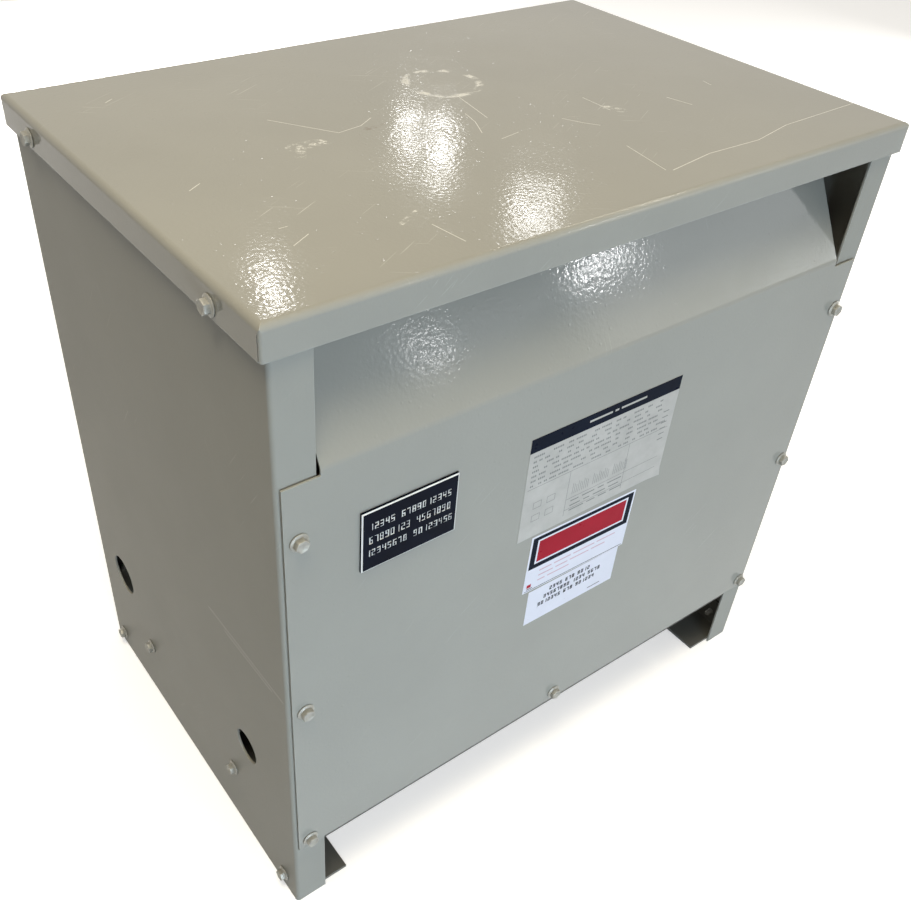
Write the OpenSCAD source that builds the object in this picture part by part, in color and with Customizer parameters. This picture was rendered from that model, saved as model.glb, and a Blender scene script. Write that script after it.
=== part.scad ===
// Three-phase dry-type transformer: ventilated sheet-metal enclosure round a three-leg core and coils.
// Millimetres, +Z up, front cover towards -Y. The origin is on the floor, midway across and deep.

/* [Enclosure] */
// Width over the two side panels
body_w = 610; // [600:1:660]
// Depth over the front and rear flanges of the side panels
body_d = 410; // [394:1:460]
// Height from the floor to the top of the lid
body_h = 633; // [620:1:700]
// Sheet thickness of the side panels
side_t = 2; // [1.5:0.1:2.6]
// Sheet thickness of the covers and the lid
skin_t = 1.6; // [1.2:0.1:2.2]
// Outside radius of the bends in the side panels
side_bend_r = 3.5; // [3:0.1:5]
// Gap left between sheets and pieces that are screwed or laid together
seat = 0.3; // [0.2:0.05:0.4]

/* [Side panels] */
// Width of the front and rear flanges of a side panel
side_flange = 31; // [28:1:40]
// Width of the flange at the top that carries the lid
lid_seat_w = 18; // [12:1:26]
// Length cut back at each end of the lid seat so that it clears the corners
seat_relief = 12; // [8:1:20]
// Diameter of the larger knockout, towards the rear
rear_knockout_d = 44.4; // [35:0.1:51]
// Distance of the larger knockout in from the rear flange's face
rear_knockout_inset = 62; // [55:1:85]
// Height of the larger knockout above the floor
rear_knockout_z = 145; // [135:1:170]
// Diameter of the smaller knockout, towards the front
front_knockout_d = 34.8; // [28:0.1:44]
// Distance of the smaller knockout in from the front flange's face
front_knockout_inset = 80; // [55:1:95]
// Height of the smaller knockout above the floor
front_knockout_z = 152; // [140:1:170]

/* [Feet] */
// Width of the angle under each side, inwards from the side panel
foot_w = 55; // [45:1:70]
// Height of the upright leg of the foot angle
foot_h = 38; // [30:1:45]
// Thickness of the foot angle
foot_t = 3; // [2:0.1:4]
// Outside radius of the foot angle's bend
foot_bend_r = 5; // [4.2:0.1:7]
// Distance from the flange's face back to the end of the foot angle
foot_setback = 4; // [3:1:16]
// Diameter of the anchor holes in the feet
anchor_d = 14; // [10:0.5:18]
// Distance of the anchor holes in from the flanges' faces
anchor_end = 65; // [45:1:90]
// Distance from the upright leg's outer face in to the anchor holes
anchor_inset = 30; // [24:1:36]

/* [Covers] */
// Height of the covers' lower edge above the floor
cover_z = 90; // [80:1:110]
// Height of the shoulders, where the cover narrows to pass between the flanges
shoulder_z = 510; // [480:1:530]
// Gap that the clip nuts' leaves keep between a cover and the side panels' flanges
cover_gap = 0.9; // [0.3:0.1:1]
// Mean distance from the side panels' outer faces in to the edges of the cover
cover_inset = 5.5; // [2:0.5:8]
// Distance the covers' outlines lie to the right of the middle, or to the left where it is negative
cover_shift = -2; // [-2.5:0.1:2.5]
// Smallest gap between the sloped section's edge and the side panel's flange
slope_gap = 2; // [1.5:0.1:5]
// Angle of the sloped section from upright, in degrees
slope_angle = 30.5; // [24:0.5:34]
// Outside radius of the bend between the upright and the sloped sections
slope_bend_r = 10; // [6:0.5:16]
// Height of the air slot between the top of the slope and the lid
vent_h = 18; // [12:1:30]

/* [Lid] */
// Height of the lid's flanges
lid_flange_h = 25; // [20:1:32]
// Distance the lid stands out past each side panel
lid_side_out = 5.3; // [4:0.1:8]
// Distance the lid stands out past the front and rear flanges
lid_end_out = 3.1; // [2.5:0.1:6]
// Outside radius of the lid's bends
lid_bend_r = 5; // [3.5:0.1:8]
// Outside radius where the front and rear flanges turn round the corners
lid_corner_r = 2.4; // [2.3:0.1:4]
// Width of the slits at the lid's corners
lid_slit_w = 1; // [0.6:0.1:2]
// Distance of each slit behind the sheet of the lid's front or rear flange
lid_slit_y = 0.6; // [0.2:0.1:6]

/* [Sills] */
// Height of the sill behind each cover's lower edge
sill_h = 34; // [26:1:45]
// Distance the sill's front hangs below the cover's lower edge
sill_drop = 7; // [0:0.5:10]
// Width of the sill's top ledge
sill_ledge = 22; // [14:1:30]
// Length of the tab that laps behind the side panel's flange
sill_tab = 22; // [15:1:25]
// Outside radius of the sill's bend
sill_bend_r = 3.5; // [3:0.1:5]

/* [Screws] */
// Diameter of a screw's shank
screw_d = 6.35; // [5:0.05:8]
// Length of a screw's shank under its head
screw_l = 14; // [12:1:18]
// Diameter of the washer face under a screw's head
washer_d = 15; // [12:0.1:18]
// Thickness of the washer face
washer_t = 1.2; // [0.8:0.1:2]
// Distance across the flats of a screw's head
hex_af = 10; // [8:0.1:12]
// Height of a screw's hexagon above its washer face
hex_h = 4.8; // [3:0.1:6]
// Clearance round a shank in its hole
screw_clear = 0.35; // [0.2:0.05:0.6]
// Distance of the covers' side screws in from the side panel's outer face
cover_screw_inset = 15; // [12:0.5:20]
// Height of the covers' lowest screws
cover_screw_z = 101; // [99:1:106]
// Distance from one cover side screw up to the next
cover_screw_spacing = 180; // [150:1:190]
// Distance of the lid's screws in from the flanges' faces
lid_screw_inset = 57; // [45:1:85]
// Distance of the lid's screws below the top of the lid
lid_screw_drop = 16; // [13.5:0.5:17]
// Distance of the foot screws in from the flanges' faces
foot_screw_inset = 23; // [21:1:45]
// Height of the foot screws
foot_screw_z = 19; // [16:1:24]

/* [Core rails] */
// Distance of each rail from the middle of the part
rail_y = 91.5; // [86:0.5:100]
// Height of the screws that hold the rails' ends
rail_screw_z = 80.5; // [78:0.5:90]
// Width of a rail
rail_w = 44; // [38:1:50]
// Height of a rail
rail_h = 40; // [34:1:44]
// Thickness of a rail
rail_t = 3; // [2:0.1:4]
// Outside radius of a rail's bends
rail_bend_r = 5; // [4.2:0.1:7]
// Thickness of the isolation pads on the rails
pad_h = 8; // [5:0.5:12]
// Side of a square isolation pad
pad_w = 30; // [22:1:30]
// Distance of the pads from the middle of the rails
pad_x = 165; // [120:1:190]

/* [Core] */
// Width of each core leg
leg_w = 65; // [55:1:70]
// Depth of the stack of laminations
stack_d = 80; // [70:1:90]
// Distance from one leg's centre to the next
leg_pitch = 170; // [168:1:175]
// Height of the core's windows
window_h = 240; // [220:1:250]
// Height of the yokes
yoke_h = 65; // [55:1:70]

/* [Windings] */
// Gap between the core leg and the inner winding
inner_gap = 4; // [3:0.1:5]
// Thickness of the inner, low-voltage winding
inner_build = 16; // [12:0.5:18]
// Width of the air duct between the windings
duct_w = 9; // [6:0.5:10]
// Thickness of the outer, high-voltage winding
outer_build = 19; // [14:0.5:20]
// Distance the outer winding's top stops short of the inner winding's, so that leads pass over it
outer_short = 12; // [8:1:20]
// Corner radius of the inner winding's opening
inner_corner_r = 6; // [4:0.5:10]
// Gap between the windings' ends and the yokes
coil_end_gap = 7; // [5:0.5:10]
// Width of the spacer sticks in the ducts
stick_w = 10; // [6:0.5:14]
// Distance of the outer spacer sticks from a coil's centre line
stick_x = 26; // [20:1:32]
// Width of the insulating blocks above and below the windings
block_w = 22; // [14:1:26]
// Distance of the lower blocks from a coil's centre line
block_x = 40; // [30:1:45]

/* [Core clamps] */
// Thickness of the clamp channels
clamp_t = 4; // [3:0.1:5]
// Outside radius of the clamps' bends
clamp_bend_r = 6; // [5.5:0.1:8]
// Length that the clamps reach past each end of the core
clamp_over = 28; // [24:1:34]
// Height of the lower clamp channels
lower_clamp_h = 65; // [55:1:69]
// Depth of the lower clamp channels' flanges
lower_clamp_d = 64; // [58:1:70]
// Height of the upper clamp angles
upper_clamp_h = 50; // [44:1:54]
// Depth of the upper clamp angles' ledge
upper_clamp_d = 32; // [26:1:40]
// Height of the core's underside above the lower clamps', and of its top above the upper clamps'
core_lift = 4; // [2:0.5:6]
// Diameter of the tie studs
stud_d = 10; // [8:0.5:12]
// Distance of the tie studs past the ends of the core
stud_x = 14; // [11:1:16]
// Distance across the flats of the stud nuts
nut_af = 16; // [14:0.5:19]
// Height of the stud nuts
nut_h = 8; // [6:0.5:10]
// Length of stud left showing past each nut
stud_end = 4; // [2:0.5:8]

/* [Terminals] */
// Length of each terminal board
board_l = 430; // [410:1:460]
// Depth of each terminal board, front to back
board_d = 58; // [50:1:66]
// Thickness of the terminal boards
board_t = 10; // [6:0.5:14]
// Height of the brackets that carry the boards
bracket_h = 34; // [24:1:44]
// Width of each board bracket
bracket_w = 30; // [20:1:40]
// Depth of each board bracket, front to back
bracket_d = 28; // [24:1:30]
// Thickness of the board brackets
bracket_t = 2.5; // [2:0.1:3]
// Outside radius of the brackets' bends
bracket_bend_r = 4; // [3.5:0.1:6]
// Distance of the board brackets from the middle
bracket_x = 120; // [90:1:130]
// Thickness of the lead bars
lead_t = 4; // [3:0.1:5]
// Width of the low-voltage lead bars
lv_lead_w = 30; // [24:1:36]
// Width of the high-voltage lead bars
hv_lead_w = 20; // [16:1:26]
// Outside radius of the lead bars' bends
lead_bend_r = 8; // [6.5:0.5:10]
// Gap between a lead bar's upright run and the board's edge or the winding
lead_clear = 12; // [8:1:16]
// Diameter of the hole in each terminal pad
lug_d = 10.5; // [8:0.5:13]
// Length of the terminal pads on the boards
lug_pad_l = 40; // [30:1:46]
// Width of the neutral bar
neutral_w = 14; // [10:1:16]
// Width of the core's ground strap
ground_w = 16; // [10:1:20]
// Thickness of the core's ground strap
ground_t = 1.5; // [1:0.1:2]
// Distance of the ground strap from the middle of the rail
ground_x = 218; // [205:1:220]
// Length of each leg of the ground strap
ground_l = 24; // [18:1:28]
// Outside radius of the ground strap's bends
ground_bend_r = 3; // [2.5:0.1:4]
// Gap between the ground strap and the edge of the clamp's flange
ground_clear = 2; // [1:0.1:2.5]

/* [Engraved plate] */
// Width of the engraved plate
plate_w = 85; // [70:1:110]
// Height of the engraved plate
plate_h = 56; // [45:1:70]
// Thickness of the engraved plate
plate_t = 2.4; // [1.5:0.1:3]
// Distance of the plate's edge in from the cover's left edge
plate_inset = 60; // [40:1:80]
// Height of the plate's centre above the floor
plate_z = 435; // [400:1:450]

/* [Hidden] */
$fn = 48;
arc_steps = 12;

half_w = body_w / 2;
half_d = body_d / 2;
side_h = body_h - skin_t - seat;
cover_back_y = half_d + cover_gap;
cover_face_y = cover_back_y + skin_t;
cover_w = body_w - 2 * cover_inset;
slope_w = body_w - 2 * (side_flange + slope_gap + abs(cover_shift));
slope_start = shoulder_z - cover_z + slope_bend_r * tan(slope_angle / 2);
slope_bend_rise = slope_bend_r * (tan(slope_angle / 2) + sin(slope_angle));
slope_rise = body_h - skin_t - vent_h - shoulder_z - slope_bend_rise;
slope_run = slope_rise / cos(slope_angle);
plate_x = cover_shift - cover_w / 2 + plate_inset;
lid_w = body_w + 2 * lid_side_out;
lid_d = body_d + 2 * lid_end_out;

side_inner_x = half_w - side_t - seat;
flange_back_y = half_d - side_t;
sill_half_l = half_w - side_flange - seat;

rail_top = rail_screw_z + rail_h / 2;
pad_z = rail_top + seat;
clamp_z = pad_z + pad_h + seat;
core_z = clamp_z + core_lift;
core_w = 2 * leg_pitch + leg_w;
core_h = window_h + 2 * yoke_h;
core_top = core_z + core_h;
window_z = core_z + yoke_h;
coil_z = window_z + coil_end_gap;
coil_h = window_h - 2 * coil_end_gap;
coil_top = coil_z + coil_h;

inner_x = leg_w / 2 + inner_gap;
inner_y = stack_d / 2 + inner_gap;
duct_x = inner_x + inner_build;
duct_y = inner_y + inner_build;
outer_x = duct_x + duct_w;
outer_y = duct_y + duct_w;
coil_half_d = outer_y + outer_build;
duct_r = inner_corner_r + inner_build;
outer_r = duct_r + duct_w;
leg_xs = [-leg_pitch, 0, leg_pitch];

clamp_y = stack_d / 2 + seat;
clamp_l = core_w + 2 * clamp_over;
lower_clamp_top = clamp_z + lower_clamp_h;
upper_clamp_top = core_top - core_lift;
upper_clamp_z = upper_clamp_top - upper_clamp_h;
stud_zs = [core_z + yoke_h / 2, core_top - yoke_h / 2];
stud_half_x = core_w / 2 + stud_x;

bracket_z = upper_clamp_top + seat;
bracket_y = clamp_y + upper_clamp_d;
board_z = bracket_z + bracket_h + seat;
board_y = bracket_y - bracket_d / 2;
board_front_y = board_y + board_d / 2;
board_back_y = board_y - board_d / 2;
lead_top = board_z + board_t + seat + lead_t;
lug_y = board_front_y - lug_pad_l / 2;
neutral_x = leg_pitch / 2;
lead_face_y = max(board_front_y, coil_half_d) + lead_clear + lead_t;

lid_screw_y = half_d - lid_screw_inset;
lid_screw_z = body_h - lid_screw_drop;
foot_screw_y = half_d - foot_screw_inset;
rear_knockout_y = half_d - rear_knockout_inset;
front_knockout_y = half_d - front_knockout_inset;
cover_screws = concat(
    [for (side = [-1, 1]) for (i = [0:2])
        [side * (half_w - cover_screw_inset), cover_screw_z + i * cover_screw_spacing]],
    [[0, cover_screw_z]]
);
hole_d = screw_d + 2 * screw_clear;

paint = [0.62, 0.63, 0.60];
zinc = [0.78, 0.78, 0.74];
steel = [0.35, 0.36, 0.38];
rubber = [0.10, 0.10, 0.10];
varnish = [0.45, 0.25, 0.12];
insulation = [0.80, 0.72, 0.52];
board_red = [0.55, 0.16, 0.12];
bar_metal = [0.82, 0.83, 0.85];
laminate = [0.05, 0.06, 0.10];

// ---- Shared profiles ----

// A sheet folded square, seen edge on: flat runs joined by quarter bends of outside radius r. Its outer
// face starts along +X at the origin and turns towards +Y
module folded_profile(runs, t, r, i = 0) {
    square([runs[i], t]);
    if (i < len(runs) - 1)
        translate([runs[i], r]) {
            intersection() {
                difference() {
                    circle(r);
                    circle(r - t);
                }
                translate([0, -r])
                    square(r);
            }
            rotate(90)
                translate([0, -r])
                    folded_profile(runs, t, r, i + 1);
        }
}

// Points along an arc about c, turning from the angle a to the angle b
function arc(c, r, a, b) = [
    for (i = [0:arc_steps])
        let (turn = a + (b - a) * i / arc_steps)
            c + r * [cos(turn), sin(turn)]
];

// Rectangle with four round corners, centred
module round_rect(size, r) {
    square([size.x - 2 * r, size.y], center = true);
    square([size.x, size.y - 2 * r], center = true);
    for (sx = [-1, 1])
        for (sy = [-1, 1])
            translate([sx * (size.x / 2 - r), sy * (size.y / 2 - r)])
                circle(r);
}

// Rectangle standing on the X axis with its two upper corners rounded
module crown_rect(w, h, r) {
    translate([-w / 2, 0])
        square([w, h - r]);
    translate([-w / 2 + r, 0])
        square([w - 2 * r, h]);
    for (sx = [-1, 1])
        translate([sx * (w / 2 - r), h - r])
            circle(r);
}

// Extrudes a profile along X, midway about the YZ plane: its X goes to +Y and its Y to +Z
module along_x(l) {
    rotate([90, 0, 90])
        linear_extrude(l, center = true)
            children();
}

// Extrudes a profile along Y, midway about the XZ plane: its X goes to +X and its Y to +Z
module along_y(l) {
    rotate([90, 0, 0])
        linear_extrude(l, center = true)
            children();
}

// The same piece again at the rear, mirrored front to back
module to_rear() {
    mirror([0, 1, 0])
        children();
}

// ---- Screws ----

// Hexagon washer-head screw, its washer face on the XY plane and its shank along -Z
module screw() {
    cylinder(d = washer_d, h = washer_t);
    translate([0, 0, washer_t])
        cylinder(d = hex_af / cos(30), h = hex_h, $fn = 6);
    translate([0, 0, -screw_l])
        cylinder(d = screw_d, h = screw_l);
}

// Places children at the cover's screws, with +Z pointing out of the front cover's face
module at_cover_screws(y) {
    for (p = cover_screws)
        translate([p.x, -y, p.y])
            rotate([90, 0, 0])
                children();
}

// Places children on both sides, with +Z pointing out of the side at the height z
module at_side(x, y, z) {
    for (sx = [-1, 1])
        for (sy = [-1, 1])
            translate([sx * x, sy * y, z])
                rotate([0, sx * 90, 0])
                    children();
}

module hole(depth) {
    translate([0, 0, -depth])
        cylinder(d = hole_d, h = 2 * depth);
}

module front_cover_screws() {
    color(zinc)
        at_cover_screws(cover_face_y + seat)
            screw();
}

module rear_cover_screws() {
    to_rear()
        front_cover_screws();
}

module top_cover_screws() {
    color(zinc)
        at_side(lid_w / 2 + seat, lid_screw_y, lid_screw_z)
            screw();
}

module side_screws() {
    color(zinc) {
        at_side(half_w + seat, foot_screw_y, foot_screw_z)
            screw();
        at_side(half_w + seat, rail_y, rail_screw_z)
            screw();
    }
}

// ---- Enclosure ----

module side_panel() {
    color(paint)
        difference() {
            union() {
                difference() {
                    translate([half_w - side_flange, -half_d, 0])
                        linear_extrude(side_h)
                            folded_profile(
                                [
                                    side_flange - side_bend_r,
                                    body_d - 2 * side_bend_r,
                                    side_flange - side_bend_r
                                ],
                                side_t, side_bend_r
                            );
                    translate([half_w - 2 * side_t, -half_d + seat_relief, side_h - side_bend_r])
                        cube([3 * side_t, body_d - 2 * seat_relief, 2 * side_bend_r]);
                }
                translate([half_w, 0, side_h - 2 * side_bend_r])
                    along_y(body_d - 2 * seat_relief)
                        rotate(90)
                            folded_profile(
                                [side_bend_r, lid_seat_w - side_bend_r],
                                side_t, side_bend_r
                            );
            }
            translate([half_w, rear_knockout_y, rear_knockout_z])
                rotate([0, 90, 0])
                    cylinder(d = rear_knockout_d, h = 4 * side_t, center = true);
            translate([half_w, -front_knockout_y, front_knockout_z])
                rotate([0, 90, 0])
                    cylinder(d = front_knockout_d, h = 4 * side_t, center = true);
            at_side(half_w, lid_screw_y, lid_screw_z)
                hole(2 * side_t);
            at_side(half_w, foot_screw_y, foot_screw_z)
                hole(2 * side_t);
            at_side(half_w, rail_y, rail_screw_z)
                hole(2 * side_t);
            at_cover_screws(half_d)
                hole(2 * side_t);
            to_rear()
                at_cover_screws(half_d)
                    hole(2 * side_t);
        }
}

module side_panel_right() {
    side_panel();
}

module side_panel_left() {
    mirror([1, 0, 0])
        side_panel();
}

module foot_angle() {
    color(paint)
        difference() {
            translate([side_inner_x - foot_w, 0, 0])
                along_y(body_d - 2 * foot_setback)
                    folded_profile([foot_w - foot_bend_r, foot_h - foot_bend_r], foot_t, foot_bend_r);
            for (sy = [-1, 1])
                translate([side_inner_x - anchor_inset, sy * (half_d - anchor_end), -foot_t])
                    cylinder(d = anchor_d, h = 3 * foot_t);
            at_side(side_inner_x, foot_screw_y, foot_screw_z)
                hole(2 * foot_t);
        }
}

module foot_angle_right() {
    foot_angle();
}

module foot_angle_left() {
    mirror([1, 0, 0])
        foot_angle();
}

// The cover seen edge on, its length along +X and its outer face on the X axis, up to the slope's end
module cover_profile() {
    bend_centre = [slope_start, slope_bend_r];
    bend_end = slope_angle - 90;
    along_slope = slope_run * [cos(slope_angle), sin(slope_angle)];
    outer = arc(bend_centre, slope_bend_r, -90, bend_end);
    inner = arc(bend_centre, slope_bend_r - skin_t, bend_end, -90);
    polygon(concat(
        [[0, skin_t], [0, 0]],
        outer,
        [outer[arc_steps] + along_slope, inner[0] + along_slope],
        inner
    ));
}

module front_cover() {
    color(paint)
        difference() {
            translate([cover_shift, -cover_face_y, cover_z])
                rotate([0, -90, 0])
                    linear_extrude(cover_w, center = true)
                        cover_profile();
            for (sx = [-1, 1])
                translate([cover_shift + sx * cover_w / 2, -cover_face_y, shoulder_z + body_h / 2])
                    cube([cover_w - slope_w, body_d, body_h], center = true);
            at_cover_screws(cover_face_y)
                hole(2 * skin_t);
        }
}

module rear_cover() {
    to_rear()
        front_cover();
}

module front_sill() {
    tab_h = sill_h - 2 * sill_bend_r;
    tab_z = cover_z + sill_h / 2;
    tab_y = side_t / 2 - flange_back_y;
    color(paint)
        difference() {
            union() {
                translate([0, -half_d + sill_ledge, cover_z + sill_h])
                    along_x(2 * sill_half_l)
                        rotate(180)
                            folded_profile(
                                [sill_ledge - sill_bend_r, sill_h + sill_drop - sill_bend_r],
                                side_t, sill_bend_r
                            );
                for (sx = [-1, 1]) {
                    translate([sx * sill_half_l, tab_y + seat, tab_z])
                        cube([2 * sill_tab, side_t, tab_h], center = true);
                    translate([sx * (sill_half_l - sill_tab / 2), tab_y, tab_z])
                        cube([sill_tab, side_t, tab_h], center = true);
                }
            }
            at_cover_screws(half_d)
                hole(3 * side_t);
        }
}

module rear_sill() {
    to_rear()
        front_sill();
}

// The lid's outline shrunk by d on every face, so that two of them leave a sheet between
module lid_block(d) {
    intersection() {
        along_y(2 * lid_d)
            crown_rect(lid_w - 2 * d, lid_flange_h - d, lid_bend_r - d);
        along_x(2 * lid_w)
            crown_rect(lid_d - 2 * d, lid_flange_h - d, lid_bend_r - d);
        translate([0, 0, -lid_flange_h])
            linear_extrude(3 * lid_flange_h)
                round_rect([lid_w - 2 * d, lid_d - 2 * d], lid_corner_r - d);
    }
}

module top_cover() {
    color(paint)
        difference() {
            translate([0, 0, body_h - lid_flange_h])
                difference() {
                    lid_block(0);
                    lid_block(skin_t);
                    for (sx = [-1, 1])
                        for (sy = [-1, 1])
                            translate([
                                sx * lid_w / 2,
                                sy * (lid_d / 2 - skin_t - lid_slit_y - lid_slit_w / 2),
                                (lid_flange_h - lid_bend_r) / 2 - skin_t
                            ])
                                cube([3 * skin_t, lid_slit_w, lid_flange_h - lid_bend_r], center = true);
                }
            at_side(lid_w / 2, lid_screw_y, lid_screw_z)
                hole(2 * skin_t);
        }
}

// ---- Core and coils ----

module front_core_rail() {
    rail_l = 2 * side_inner_x;
    color(paint)
        difference() {
            union() {
                translate([0, -rail_y + rail_w / 2, rail_top - rail_h])
                    along_x(rail_l)
                        rotate(90)
                            folded_profile(
                                [rail_h - rail_bend_r, rail_w - 2 * rail_bend_r, rail_h - rail_bend_r],
                                rail_t, rail_bend_r
                            );
                for (sx = [-1, 1])
                    translate([sx * (rail_l - rail_t) / 2, -rail_y, rail_screw_z - rail_t / 2])
                        cube([rail_t, rail_w - rail_t, rail_h - rail_t], center = true);
            }
            at_side(side_inner_x, rail_y, rail_screw_z)
                hole(2 * rail_t);
        }
}

module rear_core_rail() {
    to_rear()
        front_core_rail();
}

module isolation_pads() {
    color(rubber)
        for (sx = [-1, 1])
            for (sy = [-1, 1])
                translate([sx * pad_x, sy * (clamp_y + lower_clamp_d - pad_w / 2), pad_z])
                    linear_extrude(pad_h)
                        round_rect([pad_w, pad_w], pad_h / 2);
}

module core() {
    color(steel)
        translate([0, 0, core_z])
            along_y(stack_d)
                difference() {
                    translate([-core_w / 2, 0])
                        square([core_w, core_h]);
                    for (sx = [-1, 1])
                        translate([sx * leg_pitch / 2 - (leg_pitch - leg_w) / 2, yoke_h])
                            square([leg_pitch - leg_w, window_h]);
                }
}

// A winding round one leg: a rectangular tube with round corners
module winding(leg, half_x, half_y, r, build, h, shade) {
    color(shade)
        translate([leg_xs[leg], 0, coil_z])
            linear_extrude(h)
                difference() {
                    round_rect([2 * (half_x + build), 2 * (half_y + build)], r + build);
                    round_rect([2 * half_x, 2 * half_y], r);
                }
}

module inner_winding(leg) {
    winding(leg, inner_x, inner_y, inner_corner_r, inner_build, coil_h, insulation);
}

module outer_winding(leg) {
    winding(leg, outer_x, outer_y, outer_r, outer_build, coil_h - outer_short, varnish);
}

module inner_winding_a() {
    inner_winding(0);
}

module inner_winding_b() {
    inner_winding(1);
}

module inner_winding_c() {
    inner_winding(2);
}

module outer_winding_a() {
    outer_winding(0);
}

module outer_winding_b() {
    outer_winding(1);
}

module outer_winding_c() {
    outer_winding(2);
}

module duct_sticks() {
    stick_t = duct_w - 2 * seat;
    color(insulation)
        for (x = leg_xs)
            translate([x, 0, coil_z]) {
                for (sx = [-1, 0, 1])
                    for (sy = [-1, 1])
                        translate([sx * stick_x, sy * (duct_y + duct_w / 2), coil_h / 2])
                            cube([stick_w, stick_t, coil_h], center = true);
                for (sx = [-1, 1])
                    translate([sx * (duct_x + duct_w / 2), 0, coil_h / 2])
                        cube([stick_t, stick_w, coil_h], center = true);
            }
}

// Blocks that stand on the lower clamps' top flanges and carry the windings
module lower_coil_blocks() {
    block_front = coil_half_d - seat;
    block_back = clamp_y + clamp_t;
    block_h = coil_z - lower_clamp_top - 2 * seat;
    color(insulation)
        for (x = leg_xs)
            for (sx = [-1, 1])
                for (sy = [-1, 1])
                    translate([
                        x + sx * block_x,
                        sy * (block_front + block_back) / 2,
                        lower_clamp_top + seat + block_h / 2
                    ])
                        cube([block_w, block_front - block_back, block_h], center = true);
}

// Blocks in the windows that keep the windings' tops off the upper yoke
module upper_coil_blocks() {
    block_h = coil_end_gap - 2 * seat;
    block_to_window = leg_pitch / 2 - inner_x - inner_build / 2;
    color(insulation)
        for (sx = [-1, 1])
            for (side = [-1, 1])
                for (sy = [-1, 1])
                    translate([
                        sx * leg_pitch / 2 + side * block_to_window,
                        sy * (stack_d / 2 - block_w),
                        coil_top + seat + block_h / 2
                    ])
                        cube([inner_build, block_w, block_h], center = true);
}

module stud_holes() {
    for (sx = [-1, 1])
        for (z = stud_zs)
            translate([sx * stud_half_x, 0, z])
                rotate([90, 0, 0])
                    cylinder(d = stud_d + 2 * seat, h = body_d, center = true);
}

module lower_front_clamp() {
    color(steel)
        difference() {
            translate([0, -clamp_y - lower_clamp_d, clamp_z])
                along_x(clamp_l)
                    folded_profile(
                        [
                            lower_clamp_d - clamp_bend_r,
                            lower_clamp_h - 2 * clamp_bend_r,
                            lower_clamp_d - clamp_bend_r
                        ],
                        clamp_t, clamp_bend_r
                    );
            stud_holes();
        }
}

module lower_rear_clamp() {
    to_rear()
        lower_front_clamp();
}

module upper_front_clamp() {
    color(steel)
        difference() {
            translate([0, -clamp_y, upper_clamp_z])
                along_x(clamp_l)
                    rotate(90)
                        folded_profile(
                            [upper_clamp_h - clamp_bend_r, upper_clamp_d - clamp_bend_r],
                            clamp_t, clamp_bend_r
                        );
            stud_holes();
        }
}

module upper_rear_clamp() {
    to_rear()
        upper_front_clamp();
}

module tie_studs() {
    nut_y = clamp_y + clamp_t + seat;
    stud_l = 2 * (nut_y + nut_h + stud_end);
    color(zinc)
        for (sx = [-1, 1])
            for (z = stud_zs)
                translate([sx * stud_half_x, 0, z]) {
                    rotate([90, 0, 0])
                        cylinder(d = stud_d, h = stud_l, center = true);
                    for (sy = [-1, 1])
                        translate([0, sy * (nut_y + nut_h / 2), 0])
                            rotate([90, 0, 0])
                                cylinder(d = nut_af / cos(30), h = nut_h, center = true, $fn = 6);
                }
}

// ---- Terminals ----

module front_board_brackets() {
    color(paint)
        for (sx = [-1, 1])
            translate([sx * bracket_x, -bracket_y, bracket_z])
                along_x(bracket_w)
                    folded_profile(
                        [
                            bracket_d - bracket_bend_r,
                            bracket_h - 2 * bracket_bend_r,
                            bracket_d - bracket_bend_r
                        ],
                        bracket_t, bracket_bend_r
                    );
}

module rear_board_brackets() {
    to_rear()
        front_board_brackets();
}

module terminal_board(hole_xs) {
    color(board_red)
        translate([0, 0, board_z])
            linear_extrude(board_t)
                difference() {
                    translate([0, -board_y])
                        round_rect([board_l, board_d], board_t / 4);
                    for (x = hole_xs)
                        translate([x, -lug_y])
                            circle(d = lug_d);
                }
}

module front_terminal_board() {
    terminal_board(concat(leg_xs, [neutral_x]));
}

module rear_terminal_board() {
    to_rear()
        terminal_board(leg_xs);
}

// C-shaped bar from the top of a winding, out past the coil, up and back over the board as a terminal pad
module lead_bar(start_y, start_z, w) {
    foot_run = lead_face_y - start_y - lead_bend_r;
    pad_run = lead_face_y - board_front_y + lug_pad_l - lead_bend_r;
    difference() {
        translate([0, -start_y, start_z])
            mirror([0, 1, 0])
                along_x(w)
                    folded_profile(
                        [foot_run, lead_top - start_z - 2 * lead_bend_r, pad_run],
                        lead_t, lead_bend_r
                    );
        translate([0, -lug_y, lead_top - 2 * lead_t])
            cylinder(d = lug_d, h = 3 * lead_t);
    }
}

module low_voltage_leads() {
    color(bar_metal)
        for (x = leg_xs)
            translate([x, 0, 0])
                lead_bar(inner_y + seat, coil_top + seat, lv_lead_w);
}

module high_voltage_leads() {
    color(bar_metal)
        to_rear()
            for (x = leg_xs)
                translate([x, 0, 0])
                    lead_bar(outer_y + seat, coil_top - outer_short + seat, hv_lead_w);
}

// Bar along the back of the front board, with a pad forward of it for the neutral
module neutral_bar() {
    color(bar_metal)
        translate([0, 0, board_z + board_t + seat])
            linear_extrude(lead_t)
                difference() {
                    union() {
                        translate([-board_l / 2 + board_t, -board_back_y - neutral_w])
                            square([board_l - 2 * board_t, neutral_w]);
                        translate([neutral_x - lv_lead_w / 2, -board_front_y])
                            square([lv_lead_w, board_front_y - board_back_y]);
                    }
                    translate([neutral_x, -lug_y])
                        circle(d = lug_d);
                }
}

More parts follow.
